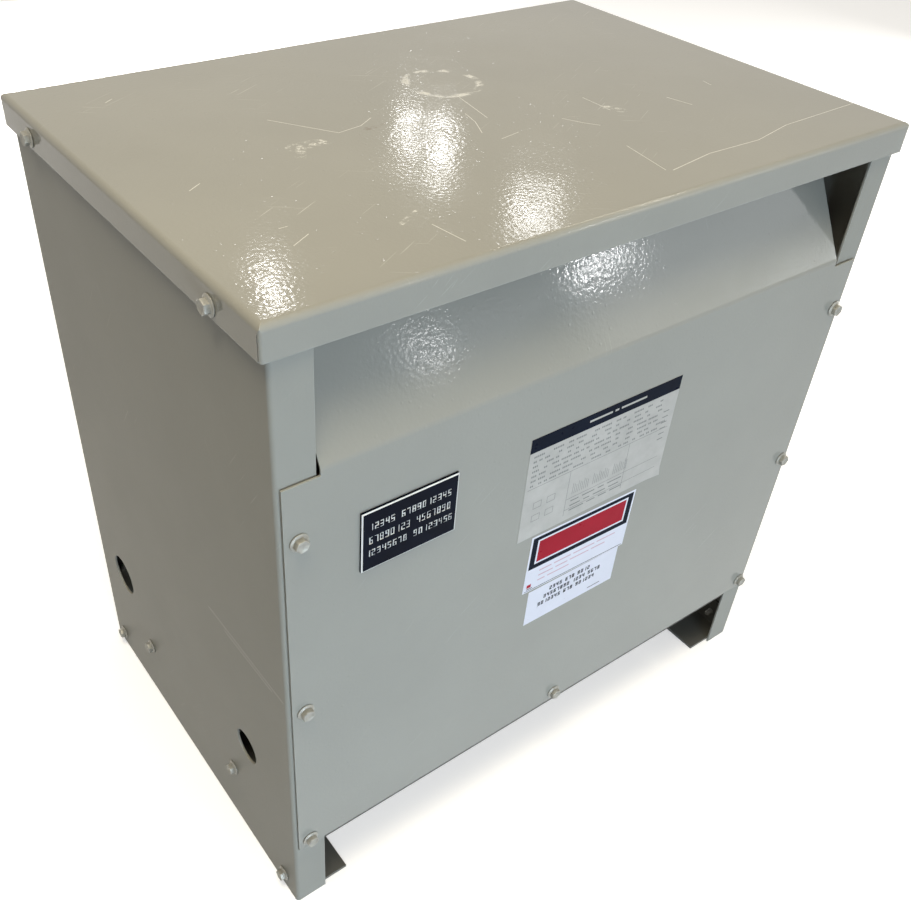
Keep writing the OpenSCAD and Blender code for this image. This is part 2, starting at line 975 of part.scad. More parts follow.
// C-shaped strap that bonds the lower clamp's flange to the rail, round the isolation pads
module ground_strap() {
    strap_z = rail_top + seat;
    strap_top = clamp_z + clamp_t + seat + ground_t;
    strap_run = ground_l - ground_bend_r;
    color(bar_metal)
        translate([ground_x, -clamp_y - lower_clamp_d - ground_clear - ground_t + ground_l, strap_z])
            mirror([0, 1, 0])
                along_x(ground_w)
                    folded_profile(
                        [strap_run, strap_top - strap_z - 2 * ground_bend_r, strap_run],
                        ground_t, ground_bend_r
                    );
}

module engraved_plate() {
    color(laminate)
        translate([plate_x, -cover_face_y - seat - plate_t, plate_z - plate_h / 2])
            cube([plate_w, plate_t, plate_h]);
}

side_panel_left();
side_panel_right();
front_cover();
rear_cover();
top_cover();
foot_angle_left();
foot_angle_right();
front_sill();
rear_sill();
front_cover_screws();
rear_cover_screws();
top_cover_screws();
side_screws();
front_core_rail();
rear_core_rail();
isolation_pads();
core();
inner_winding_a();
inner_winding_b();
inner_winding_c();
outer_winding_a();
outer_winding_b();
outer_winding_c();
duct_sticks();
lower_coil_blocks();
upper_coil_blocks();
lower_front_clamp();
lower_rear_clamp();
upper_front_clamp();
upper_rear_clamp();
tie_studs();
front_board_brackets();
rear_board_brackets();
front_terminal_board();
rear_terminal_board();
low_voltage_leads();
high_voltage_leads();
neutral_bar();
ground_strap();
engraved_plate();
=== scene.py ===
"""Finishes, fasteners, plates and stage of a three-phase dry-type transformer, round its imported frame.

Metres, +Z up, front cover towards -Y. Places come from the frame's nodes, apart from those of the thin
plates, stickers and marks that no node has.
"""

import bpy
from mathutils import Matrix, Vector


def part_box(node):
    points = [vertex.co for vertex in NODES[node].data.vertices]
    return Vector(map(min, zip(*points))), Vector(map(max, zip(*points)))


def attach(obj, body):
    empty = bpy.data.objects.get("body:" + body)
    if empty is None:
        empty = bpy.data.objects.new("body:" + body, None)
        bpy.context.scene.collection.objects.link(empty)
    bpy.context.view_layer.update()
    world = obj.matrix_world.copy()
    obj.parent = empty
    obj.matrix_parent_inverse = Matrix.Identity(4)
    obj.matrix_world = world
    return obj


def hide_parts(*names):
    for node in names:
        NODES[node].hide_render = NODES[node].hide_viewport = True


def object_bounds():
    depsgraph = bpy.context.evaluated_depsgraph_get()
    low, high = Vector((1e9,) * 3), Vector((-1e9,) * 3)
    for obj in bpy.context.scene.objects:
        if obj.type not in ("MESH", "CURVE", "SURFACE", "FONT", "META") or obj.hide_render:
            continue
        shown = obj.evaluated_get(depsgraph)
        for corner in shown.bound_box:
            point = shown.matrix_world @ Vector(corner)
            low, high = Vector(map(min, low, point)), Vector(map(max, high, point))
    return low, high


bl_info = {
    "name": "Dry-type transformer finisher",
    "version": (1, 0, 0),
    "blender": (4, 5, 0),
    "location": "3D View > Sidebar > Transformer",
    "description": "Builds the screws, plates and finishes of a ventilated dry-type transformer",
    "category": "Object",
}

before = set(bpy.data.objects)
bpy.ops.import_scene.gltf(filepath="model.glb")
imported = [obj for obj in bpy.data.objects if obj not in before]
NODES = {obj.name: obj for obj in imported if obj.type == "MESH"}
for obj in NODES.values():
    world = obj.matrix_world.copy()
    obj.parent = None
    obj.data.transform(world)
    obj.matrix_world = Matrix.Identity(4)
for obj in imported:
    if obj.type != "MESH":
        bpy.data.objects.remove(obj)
CAD_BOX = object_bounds()

import random
from itertools import cycle
from math import cos, pi, radians, sin

import bmesh
import bpy
from mathutils import Matrix, Vector

ROOT = "root"
MM = 0.001
SCREW_SEED, PRINT_SEED = 7, 11

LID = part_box("top_cover")
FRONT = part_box("front_cover")
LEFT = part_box("side_panel_left")
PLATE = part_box("engraved_plate")
FLOOR_Z = CAD_BOX[0].z
FRONT_Y = FRONT[0].y
LID_TOP = LID[1].z
# The front cover's largest face between upright and level: its slope.
SLOPE = max(
    (face for face in NODES["front_cover"].data.polygons if face.normal.y < -0.3 and 0.3 < face.normal.z < 0.8),
    key=lambda face: face.area,
)
SLOPE_PLACE, SLOPE_NORMAL = SLOPE.center.copy(), SLOPE.normal.copy()

PAINTED_NODES = {
    "lid": ["top_cover"],
    "cover": ["front_cover", "rear_cover"],
    "side": ["side_panel_left", "side_panel_right"],
    "foot": ["foot_angle_left", "foot_angle_right"],
    "sill": ["front_sill", "rear_sill"],
    "frame": ["front_core_rail", "rear_core_rail", "front_board_brackets", "rear_board_brackets"],
}
# Painted shade: the share of the enamel's colour on the pieces under and inside the enclosure, darkened to stand for
# the shade they lie in.
PAINTED_SHADE_SHARE = {"foot": 0.45, "sill": 0.08, "frame": 0.5}

# Scratches on top of the lid, in millimetres: the width, and the places that each runs through, across and back.
SCRATCHES = (
    (1.0, (55, -175), (104, -167), (161, -168), (208, -158), (304, -154)),
    (0.7, (58, -124), (50, -172)),
    (0.9, (168, -63), (174, -86)),
    (0.7, (102, -28), (102, -61)),
    (0.8, (53, -56), (62, -72), (70, -82)),
    (0.7, (230, -49), (228, -60)),
    (0.8, (10, 28), (0, -25)),
    (0.8, (-10, -9), (-14, -27), (-24, -48)),
    (0.7, (-18, -65), (2, -61)),
    (0.8, (-153, -156), (-149, -186)),
    (0.9, (-264, -32), (-253, -25)),
    (0.8, (-247, 148), (-240, 153)),
    (0.8, (-245, -136), (-229, -127)),
    (0.7, (-241, -111), (-235, -111)),
    (0.8, (-82, 20), (-98, 10), (-121, 6), (-155, 55)),
)

# Rubbed patches on the lid, in millimetres: the width, and both ends across and back.
RUBS = (
    (11, (104, -56), (110, -66)),
    (15, (-166, -2), (-140, -3)),
    (9, (-160, -5), (-172, -22)),
    (5, (-170, -145), (-150, -135)),
)
# The brown smear on the lid, in the same way, and its colour.
SMEAR = (7, (-104, 2), (-82, 3))
SMEAR_COLOUR = (0.17, 0.12, 0.07)
# The scuffed ring on the lid: its middle across and back, its radius, and half its width where it is full and faded.
RING, RING_RADIUS, RING_FULL, RING_FADED = (0.018, 0.058), 32 * MM, 1.8 * MM, 4.2 * MM
# The two scratches low on each side panel: the upper one's end across and up, and the drop to the lower one.
SIDE_SCRATCH_END, SIDE_SCRATCH_DROP = (-0.077, 0.294), 4.5 * MM

# Inks of the printed sheets, in the order of their materials: the bare sheet, its print, a broad band, faded words.
SHEET, PRINT, BAND, FADED = range(4)
# The thin sheets on the front cover: the lower left and the upper right corner, across and up.
RATING_PLATE = ((-0.0846, 0.3528), (0.0834, 0.4607))
UPPER_STICKER = ((-0.0678, 0.2812), (0.0567, 0.3482))
LOWER_STICKER = ((-0.0605, 0.2372), (0.0505, 0.2800))

# The strokes of each figure: a top, b and c right, d foot, e and f left, g middle.
FIGURE_STROKES = {
    "0": "abcdef", "1": "bc", "2": "abged", "3": "abgcd", "4": "fgbc",
    "5": "afgcd", "6": "afgcde", "7": "abc", "8": "abcdefg", "9": "abcdfg",
}

MIDDLE = (0, 0, 0.35)
# Soft lamps: the name, place, target, size, power in watts and colour.
LAMPS = (
    ("overhead", (-0.58, -0.42, 2.1), MIDDLE, (0.8, 0.8), 23, (1.0, 0.89, 0.69)),
    ("low_front_window", (-0.34, -1.7, 0.20), (-0.12, -0.2, 0.15), (0.9, 0.6), 21, (0.70, 0.85, 1.0)),
    ("back_fill", (0.5, 2.8, 0.30), (0.0, 0, 0.28), (1.6, 0.4), 46, (1.0, 0.97, 0.92)),
    ("right_fill", (2.9, 0.0, 0.30), (0, 0, 0.28), (1.6, 0.4), 34, (1.0, 0.97, 0.92)),
    ("ceiling_strip", (2.4, 0.3, 3.0), MIDDLE, (3.0, 0.12), 14, (1.0, 0.95, 0.84)),
    ("front_strip", (2.6, -2.9, 1.2), MIDDLE, (3.0, 0.12), 6, (0.90, 0.96, 1.0)),
)
# Distance from the enclosure to the small lamps that it mirrors.
LAMP_REACH = 4.0
# Small far lamps: the name, whether the slope or the lid mirrors it, where, across and back, the size and the power.
MIRRORED_LAMPS = (
    ("far_lamp", "lid", (-0.076, -0.022), (0.09, 0.07), 0.42),
    ("far_lamp_beside", "lid", (-0.076, -0.062), (0.10, 0.11), 0.75),
    ("front_lamp", "lid", (-0.086, -0.181), (0.20, 0.09), 1.0),
    ("left_lamp", "lid", (-0.287, -0.180), (0.09, 0.12), 1.2),
    ("slope_lamp", "slope", (-0.007, -0.174), (0.16, 0.07), 3.6),
    ("slope_lamp_left", "slope", (-0.173, -0.183), (0.14, 0.07), 1.6),
    ("slope_glow", "slope", (-0.112, -0.182), (0.50, 0.16), 0.6),
    ("slope_glow_right", "slope", (0.093, -0.177), (1.20, 0.50), 5.0),
)
# The floor's own light to the camera, and the share of its colour that it gives back as a bounce.
FLOOR_GLOW, FLOOR_BOUNCE = 0.50, 0.22


# ---- Settings ----


def length(name, description, default):
    return bpy.props.FloatProperty(
        name=name, description=description, default=default, min=0.0, subtype="DISTANCE", unit="LENGTH"
    )


def colour(name, description, default):
    return bpy.props.FloatVectorProperty(
        name=name, description=description, default=default, size=3, min=0.0, max=1.0, subtype="COLOR"
    )


def factor(name, description, default):
    return bpy.props.FloatProperty(
        name=name, description=description, default=default, min=0.0, max=1.0, subtype="FACTOR"
    )


class EnclosureSettings(bpy.types.PropertyGroup):
    paint: colour("Paint", "Grey enamel on the enclosure", (0.345, 0.347, 0.316))
    roughness: factor("Roughness", "Roughness of the enamel", 0.095)
    peel: length("Orange peel", "Width of the ripples in the enamel", 3.2 * MM)
    peel_strength: factor("Orange peel strength", "Depth of the ripples in the enamel", 0.18)
    edge: length("Edge radius", "Width over which paint rounds a sheared edge", 0.6 * MM)
    # On cut edges this colour is partly thin paint and partly a painted highlight; in scratches it is thin paint.
    thin: colour("Thin paint", "Enamel where it is thin, on cut edges and in scratches", (0.80, 0.81, 0.78))
    die_line: length("Die line", "Distance of the press brake's line from the lid's edges", 12 * MM)


class ScrewSettings(bpy.types.PropertyGroup):
    head: length("Head height", "Height of the washer face and hexagon together", 6.0 * MM)
    washer: length("Washer thickness", "Thickness of the washer face at its rim", 0.9 * MM)
    washer_radius: length("Washer radius", "Radius of the washer face", 7.5 * MM)
    flats: length("Across flats", "Width of the hexagon across its flats", 10.0 * MM)
    shank: length("Shank radius", "Radius of the shank over its threads", 3.17 * MM)
    pitch: length("Thread pitch", "Distance from one thread to the next", 1.27 * MM)
    zinc: colour("Zinc", "Zinc plate on the screws", (0.36, 0.355, 0.32))


class PlateSettings(bpy.types.PropertyGroup):
    bevel: length("Bevel", "Width of the engraved plate's pale bevel", 1.1 * MM)
    groove: length("Groove", "Depth of the engraving", 0.5 * MM)
    laminate: colour("Laminate", "Face of the engraved plate", (0.003, 0.005, 0.012))
    core: colour("Laminate core", "Pale core of the engraved plate", (0.80, 0.80, 0.78))
    foil: colour("Foil", "Rating plate's foil", (0.44, 0.445, 0.435))
    foil_ink: colour("Foil print", "Print on the rating plate", (0.20, 0.21, 0.21))
    band: colour("Band", "Dark band on the rating plate and the sticker", (0.005, 0.009, 0.020))
    vinyl: colour("Vinyl", "White stickers", (0.76, 0.77, 0.86))
    red: colour("Red", "Red block on the upper sticker", (0.38, 0.012, 0.030))
    foil_thickness: length("Foil thickness", "Thickness of the rating plate", 0.3 * MM)
    vinyl_thickness: length("Vinyl thickness", "Thickness of the stickers", 0.15 * MM)


class CoilSettings(bpy.types.PropertyGroup):
    varnish: colour("Varnish", "Baked varnish over the outer windings", (0.16, 0.055, 0.018))
    paper: colour("Paper", "Varnished paper on the inner windings", (0.55, 0.38, 0.16))
    board: colour("Board", "Pressed board of sticks and blocks", (0.58, 0.42, 0.20))
    steel: colour("Core steel", "Edges of the laminations", (0.10, 0.105, 0.115))
    clamp: colour("Clamp paint", "Paint on the core clamps", (0.030, 0.033, 0.040))
    terminal_red: colour("Terminal board", "Moulded terminal boards", (0.26, 0.025, 0.018))
    rubber: colour("Rubber", "Isolation pads", (0.012, 0.012, 0.013))
    aluminium: colour("Aluminium", "Lead bars and ground strap", (0.76, 0.77, 0.79))
    turn: length("Turn", "Height of one turn of the outer winding", 4.2 * MM)
    lamination: length("Lamination", "Thickness of the bundles that show on the core", 1.4 * MM)


class StageSettings(bpy.types.PropertyGroup):
    camera_place: bpy.props.FloatVectorProperty(
        name="Camera place", description="Where the camera stands",
        default=(-0.532, -0.636, 0.925), size=3, subtype="TRANSLATION", unit="LENGTH",
    )
    camera_turn: bpy.props.FloatVectorProperty(
        name="Camera turn", description="How the camera is turned",
        default=(radians(50.42), radians(-2.70), radians(-36.20)), size=3, subtype="EULER", unit="ROTATION",
    )
    lens: bpy.props.FloatProperty(
        name="Lens", description="Focal length on a 36 mm sensor", default=40.0, min=1.0, unit="CAMERA"
    )
    shift: bpy.props.FloatVectorProperty(
        name="Shift", description="Shift of the lens across and up", default=(0.040, 0.029), size=2
    )
    floor: colour("Floor", "Pale floor", (0.93, 0.93, 0.93))
    ambient: factor("Ambient", "Strength of the light from all round", 0.20)
    ambient_tint: colour("Ambient tint", "Colour of the light from all round", (1.0, 0.90, 0.74))


# ---- Selecting and modelling ----


def deselect_all():
    if bpy.context.object and bpy.context.object.mode != "OBJECT":
        bpy.ops.object.mode_set(mode="OBJECT")
    bpy.ops.object.select_all(action="DESELECT")


def name_piece(name):
    """Names the active object and its mesh."""
    piece = bpy.context.object
    piece.name = name
    piece.data.name = name
    return piece


def choose(piece):
    """Selects the piece alone and makes it the active one."""
    deselect_all()
    bpy.context.view_layer.objects.active = piece
    piece.select_set(True)


def edit(piece, select="DESELECT"):
    """Enters edit mode on the piece alone, with nothing or, for SELECT, everything selected."""
    choose(piece)
    bpy.ops.object.mode_set(mode="EDIT")
    bpy.context.tool_settings.mesh_select_mode = (False, False, True)
    bpy.ops.mesh.select_all(action=select)


def leave_edit():
    bpy.ops.object.mode_set(mode="OBJECT")


def pick_faces(piece, wanted):
    """In edit mode, selects the faces for which wanted(centre, normal) holds."""
    mesh = bmesh.from_edit_mesh(piece.data)
    for face in mesh.faces:
        face.select_set(bool(wanted(face.calc_center_median(), face.normal)))
    bmesh.update_edit_mesh(piece.data)


def pick_edges(piece, wanted):
    """In edit mode, selects the edges for which wanted(end, other end) holds."""
    bpy.context.tool_settings.mesh_select_mode = (False, True, False)
    mesh = bmesh.from_edit_mesh(piece.data)
    for edge in mesh.edges:
        edge.select_set(bool(wanted(edge.verts[0].co, edge.verts[1].co)))
    bmesh.update_edit_mesh(piece.data)


def slide_up(distance):
    """Moves what is selected along Z."""
    bpy.ops.transform.translate(value=(0, 0, distance))


def settle(piece):
    """Puts the piece's place into its mesh, so that its object sits at the origin."""
    choose(piece)
    bpy.ops.object.transform_apply(location=True, rotation=True, scale=True)
    return piece


def block(name, low, high):
    """A block between two corners, to be cut and bevelled further."""
    deselect_all()
    bpy.ops.mesh.primitive_cube_add(size=1.0)
    piece = name_piece(name)
    piece.scale = high - low
    piece.location = (low + high) / 2
    return settle(piece)


def finish_modifier(piece, kind, **values):
    """Adds a modifier, sets it and applies it."""
    modifier = piece.modifiers.new(kind.title(), kind)
    for key, value in values.items():
        setattr(modifier, key, value)
    choose(piece)
    bpy.ops.object.modifier_apply(modifier=modifier.name)


def outward(piece):
    """Merges doubles and turns every face outwards."""
    edit(piece, "SELECT")
    bpy.ops.mesh.remove_doubles(threshold=1e-6)
    bpy.ops.mesh.normals_make_consistent(inside=False)
    leave_edit()


def join_pieces(pieces, name):
    deselect_all()
    for piece in pieces:
        piece.select_set(True)
    bpy.context.view_layer.objects.active = pieces[0]
    bpy.ops.object.join()
    return name_piece(name)


def copy_to(piece, place):
    """A copy of the piece with its own mesh, moved there by a matrix."""
    twin = piece.copy()
    twin.data = piece.data.copy()
    twin.data.transform(place)
    bpy.context.collection.objects.link(twin)
    return twin


def solids_of(node):
    """The lowest and highest corner of each separate solid of a node, from a merged copy of its mesh."""
    mesh = bmesh.new()
    mesh.from_mesh(NODES[node].data)
    bmesh.ops.remove_doubles(mesh, verts=mesh.verts, dist=1e-6)
    left = set(mesh.verts)
    boxes = []
    while left:
        group = [left.pop()]
        for vert in group:
            for edge in vert.link_edges:
                other = edge.other_vert(vert)
                if other in left:
                    left.discard(other)
                    group.append(other)
        low = Vector([min(v.co[i] for v in group) for i in range(3)])
        high = Vector([max(v.co[i] for v in group) for i in range(3)])
        boxes.append((low, high))
    mesh.free()
    return sorted(boxes, key=lambda b: tuple(round(c, 4) for c in b[0]))


def fit(piece, node=None):
    """The finished piece rides on the part's one body, and replaces the node if one is given."""
    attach(piece, ROOT)
    if node:
        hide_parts(node)


# ---- Materials ----


class Recipe:
    """Builds one material's nodes, with short calls for what the finishes share."""

    def __init__(self, name, base, roughness, metallic=0.0):
        self.material = bpy.data.materials.new(name)
        self.material.use_nodes = True
        self.tree = self.material.node_tree
        self.shader = self.tree.nodes["Principled BSDF"]
        self.shader.inputs["Metallic"].default_value = metallic
        self.shader.inputs["Roughness"].default_value = roughness
        self.shader.inputs["Base Color"].default_value = (*base, 1.0)
        self.place = self.add("ShaderNodeTexCoord").outputs["Object"]

    def add(self, kind, inputs=(), **values):
        node = self.tree.nodes.new(kind)
        for key, value in values.items():
            setattr(node, key, value)
        for socket, value in dict(inputs).items():
            self.feed(node.inputs[socket], value)
        return node

    def feed(self, socket, value):
        if isinstance(value, bpy.types.NodeSocket):
            self.tree.links.new(value, socket)
        else:
            socket.default_value = value

    def moved(self, scale, turn=(0, 0, 0)):
        """The place on the object, turned and stretched."""
        return self.add(
            "ShaderNodeMapping", {"Vector": self.place, "Scale": scale, "Rotation": turn}
        ).outputs["Vector"]

    def noise(self, scale, detail=2.0, rough=0.5, source=None):
        return self.add(
            "ShaderNodeTexNoise",
            {"Vector": source or self.place, "Scale": scale, "Detail": detail, "Roughness": rough},
        ).outputs["Fac"]

    def ramp(self, value, low, high, to_low=0.0, to_high=1.0, smooth=False):
        """Maps low..high to to_low..to_high, clamped. Smooth eases it in and out."""
        return self.add(
            "ShaderNodeMapRange",
            {"Value": value, "From Min": low, "From Max": high, "To Min": to_low, "To Max": to_high},
            clamp=True, interpolation_type="SMOOTHSTEP" if smooth else "LINEAR",
        ).outputs["Result"]

    def math(self, operation, a, b=0.0):
        return self.add("ShaderNodeMath", {0: a, 1: b}, operation=operation).outputs[0]

    def times(self, a, b):
        return self.math("MULTIPLY", a, b)

    def vector(self, operation, a, b=(0, 0, 0), output="Vector"):
        return self.add("ShaderNodeVectorMath", {0: a, 1: b}, operation=operation).outputs[output]

    def gap(self, value, level):
        """How far the value is from the level, either way."""
        return self.math("ABSOLUTE", self.math("SUBTRACT", value, level))

    def axis(self, name, source=None):
        return self.add("ShaderNodeSeparateXYZ", {"Vector": source or self.place}).outputs[name]

    def blend(self, share, a, b):
        """Mixes two colours. Each is a socket or an RGB triple."""
        node = self.add("ShaderNodeMix", data_type="RGBA")
        self.feed(node.inputs["Factor"], share)
        self.feed(node.inputs["A"], a if isinstance(a, bpy.types.NodeSocket) else (*a, 1.0))
        self.feed(node.inputs["B"], b if isinstance(b, bpy.types.NodeSocket) else (*b, 1.0))
        return node.outputs["Result"]

    def mottled(self, share, rgb, darker, lighter):
        """The colour between a darker and a lighter share of itself."""
        return self.blend(share, tuple(c * darker for c in rgb), tuple(min(1.0, c * lighter) for c in rgb))

    def bump(self, height, distance, strength=1.0, normal=None):
        node = self.add("ShaderNodeBump", {"Height": height, "Distance": distance, "Strength": strength})
        if normal:
            self.feed(node.inputs["Normal"], normal)
        return node.outputs["Normal"]

    def rounded(self, radius):
        return self.add("ShaderNodeBevel", {"Radius": radius}, samples=4).outputs["Normal"]

    def edges(self, rounded_normal):
        """1 on sheared edges and 0 elsewhere, from a rounded normal."""
        flat = self.add("ShaderNodeNewGeometry").outputs["Normal"]
        same = self.vector("DOT_PRODUCT", rounded_normal, flat, "Value")
        return self.ramp(same, 0.80, 0.985, 1.0, 0.0)

    def segment(self, start, end, width):
        """1 on a straight line between two places and 0 past half its width."""
        start, end = Vector(start), Vector(end)
        along = end - start
        offset = self.vector("SUBTRACT", self.place, tuple(start))
        share = self.vector("DOT_PRODUCT", offset, tuple(along / along.length_squared), "Value")
        share = self.add("ShaderNodeClamp", {"Value": share}).outputs[0]
        nearest = self.add("ShaderNodeVectorMath", {0: tuple(along), "Scale": share}, operation="SCALE")
        gap = self.vector("DISTANCE", offset, nearest.outputs["Vector"], "Value")
        return self.ramp(gap, 0.3 * width, 0.5 * width, 1.0, 0.0)

    def streaks(self, turn, reach, fineness, threshold):
        """Fine straight scratches: thin sheets of noise, turned so that they cross every face."""
        sheets = self.add(
            "ShaderNodeMapping",
            {"Vector": self.place, "Rotation": turn, "Scale": (reach, fineness, reach)},
            vector_type="TEXTURE",
        ).outputs["Vector"]
        return self.ramp(self.noise(1.0, 1.0, source=sheets), threshold, threshold + 0.03)

    def use(self, socket, value):
        self.feed(self.shader.inputs[socket], value)


def paint_finish(settings, name, tint=1.0, marks=None, dull=0.0, stain=None, wear=1.0):
    """Grey enamel: orange peel, faint mottling, dust under the paint, fine scratches, and cut edges lightened partly
    by thin paint and partly as a painted highlight.

    tint is its share of the colour, below 1 only as painted shade, dull adds to its roughness, and wear is the
    strength of its scratches.
    marks(recipe) lists more scratch masks, and stain(recipe) gives a mask and a colour.
    """
    paint = tuple(channel * tint for channel in settings.paint)
    gloss = settings.roughness + dull
    recipe = Recipe(name, paint, gloss)
    base = recipe.mottled(recipe.ramp(recipe.noise(5.0, 4.0, 0.6), 0.3, 0.7), paint, 0.955, 1.035)
    if stain:
        mask, rgb = stain(recipe)
        base = recipe.blend(mask, base, rgb)
    rounded = recipe.rounded(settings.edge)
    # Cut edges lightened towards the thin paint: partly thin paint on the edge, partly a painted highlight along it.
    base = recipe.blend(recipe.times(recipe.edges(rounded), 0.60), base, settings.thin)

    patches = recipe.ramp(recipe.noise(9.0, 3.0, 0.55), 0.52, 0.72)
    scratches = recipe.math(
        "MAXIMUM",
        recipe.streaks((0.6, 0.3, 0.7), 60 * MM, 1.1 * MM, 0.73),
        recipe.streaks((-0.5, 0.4, -0.8), 45 * MM, 0.9 * MM, 0.74),
    )
    scratches = recipe.times(scratches, recipe.times(patches, wear))
    for mark in marks(recipe) if marks else []:
        scratches = recipe.math("MAXIMUM", scratches, mark)
    base = recipe.blend(recipe.times(scratches, 0.75), base, settings.thin)
    recipe.use("Base Color", base)

    spread = 0.04 if dull else 0.3
    smudge = recipe.noise(14.0, 5.0, 0.65)
    rough = recipe.ramp(smudge, 0.35, 0.75, gloss * (1 - spread), gloss * (1 + spread))
    recipe.use("Roughness", recipe.math("ADD", rough, recipe.times(scratches, 0.25)))

    cells = recipe.add("ShaderNodeTexVoronoi", {"Vector": recipe.place, "Scale": 150.0, "Randomness": 1.0})
    chosen = recipe.ramp(recipe.axis("X", cells.outputs["Color"]), 0.50, 0.52)
    grain = recipe.ramp(cells.outputs["Distance"], 0.0, 0.26, 1.0, 0.0, smooth=True)
    dust = recipe.times(grain, chosen)
    normal = recipe.bump(recipe.noise(11.0, 1.0), 6.0 * MM, 0.10, rounded)
    normal = recipe.bump(recipe.noise(1.0 / settings.peel, 1.5, 0.5), 0.5 * MM, settings.peel_strength, normal)
    normal = recipe.bump(dust, 0.10 * MM, 0.0 if dull else 1.0, normal)
    recipe.use("Normal", normal)
    recipe.shader.inputs["Specular IOR Level"].default_value = 0.10 if dull else 0.20
    return recipe


def lid_runs(recipe, rows):
    """A mask for each straight run of the rows, which give a width and places across and back on the lid."""
    masks = []
    for width, *places in rows:
        ends = [(x * MM, y * MM, LID_TOP) for x, y in places]
        masks += [recipe.segment(a, b, width * MM) for a, b in zip(ends, ends[1:])]
    return masks


def lid_stain(recipe):
    """A brown smear on top of the lid."""
    broken = recipe.ramp(recipe.noise(90.0, 4.0, 0.7), 0.45, 0.60, 0.0, 0.5)
    return recipe.times(lid_runs(recipe, [SMEAR])[0], broken), SMEAR_COLOUR


def lid_marks(recipe):
    """Scratches on top of the lid, one of them long and kinked, a scuffed ring and rubs."""
    offset = recipe.vector("DISTANCE", recipe.place, (*RING, LID_TOP), "Value")
    ring = recipe.ramp(recipe.gap(offset, RING_RADIUS), RING_FULL, RING_FADED, 1.0, 0.0)
    broken = recipe.ramp(recipe.noise(70.0, 4.0, 0.7), 0.46, 0.60)
    rubbed = recipe.ramp(recipe.noise(160.0, 4.0, 0.7), 0.50, 0.62)
    rubs = [recipe.times(rub, rubbed) for rub in lid_runs(recipe, RUBS)]
    return lid_runs(recipe, SCRATCHES) + [recipe.times(ring, broken)] + rubs


def side_marks(recipe):
    """Two fine scratches side by side, low on each side panel."""
    low = LEFT[0]
    back, up = SIDE_SCRATCH_END
    marks = []
    for drop in (0.0, SIDE_SCRATCH_DROP):
        for x in (low.x, -low.x):
            start = (x, low.y + 5 * MM + 4 * drop, up - drop)
            marks.append(recipe.segment(start, (x, back - 6 * drop, up - drop - 2 * MM), 1.0 * MM))
    return marks


def die_lines(recipe, settings):
    """A shallow line pressed along the lid's edges, a little way in."""
    lines = []
    for axis, reach in (("X", LID[1].x), ("Y", LID[1].y)):
        gap = recipe.gap(recipe.math("ABSOLUTE", recipe.axis(axis)), reach - settings.die_line)
        lines.append(recipe.ramp(gap, 0.0, 1.6 * MM, 1.0, 0.0))
    before = recipe.shader.inputs["Normal"].links[0].from_socket
    recipe.use("Normal", recipe.bump(recipe.math("MAXIMUM", *lines), 0.15 * MM, -0.6, before))


def plated_finish(name, rgb, roughness, grime=(0.10, 0.09, 0.07), metallic=0.85):
    """Zinc or bare metal with cloudy patches, fine scratches and dirt."""
    recipe = Recipe(name, rgb, roughness, metallic)
    cloud = recipe.ramp(recipe.noise(260.0, 4.0, 0.6), 0.3, 0.75)
    base = recipe.mottled(cloud, rgb, 0.78, 1.12)
    dirt = recipe.ramp(recipe.noise(420.0, 3.0, 0.7), 0.60, 0.72, 0.0, 0.5)
    recipe.use("Base Color", recipe.blend(dirt, base, grime))
    recipe.use("Roughness", recipe.ramp(cloud, 0.0, 1.0, roughness * 1.25, roughness * 0.85))
    fine = recipe.noise(1.0, 2.0, source=recipe.moved((300, 300, 3000), (0.4, 0.2, 0.7)))
    recipe.use("Normal", recipe.bump(fine, 0.05 * MM, 0.35, recipe.rounded(0.25 * MM)))
    return recipe.material


def print_finish(name, rgb, roughness, fade=0.06, metallic=0.0, grain=900.0, gloss=0.15):
    """Printed or bare sheet: a slight unevenness, fine grain and a soft gloss."""
    recipe = Recipe(name, rgb, roughness, metallic)
    recipe.shader.inputs["Specular IOR Level"].default_value = gloss
    cloud = recipe.ramp(recipe.noise(45.0, 4.0, 0.65), 0.3, 0.7)
    recipe.use("Base Color", recipe.mottled(cloud, rgb, 1 - fade, 1 + fade))
    recipe.use("Roughness", recipe.ramp(recipe.noise(120.0, 3.0), 0.3, 0.7, roughness * 0.9, roughness * 1.15))
    recipe.use("Normal", recipe.bump(recipe.noise(grain, 2.0), 0.05 * MM, 0.2))
    return recipe.material


def winding_finish(name, rgb, turn, roughness):
    """Wound turns under varnish: level ribs with darker gaps, runs and drips of varnish."""
    recipe = Recipe(name, rgb, roughness)
    level = recipe.times(recipe.axis("Z"), 1.0 / turn)
    level = recipe.math("ADD", level, recipe.times(recipe.noise(7.0, 1.0), 0.5))
    gap = recipe.ramp(recipe.gap(recipe.math("FRACT", level), 0.5), 0.36, 0.5)
    drips = recipe.ramp(recipe.noise(1.0, 3.0, source=recipe.moved((70, 70, 9))), 0.35, 0.7)
    base = recipe.mottled(drips, rgb, 0.7, 1.35)
    recipe.use("Base Color", recipe.blend(recipe.times(gap, 0.7), base, tuple(c * 0.25 for c in rgb)))
    recipe.use("Roughness", recipe.ramp(drips, 0.0, 1.0, roughness * 1.3, roughness * 0.8))
    recipe.use("Normal", recipe.bump(gap, 0.6 * MM, -0.8))
    return recipe.material


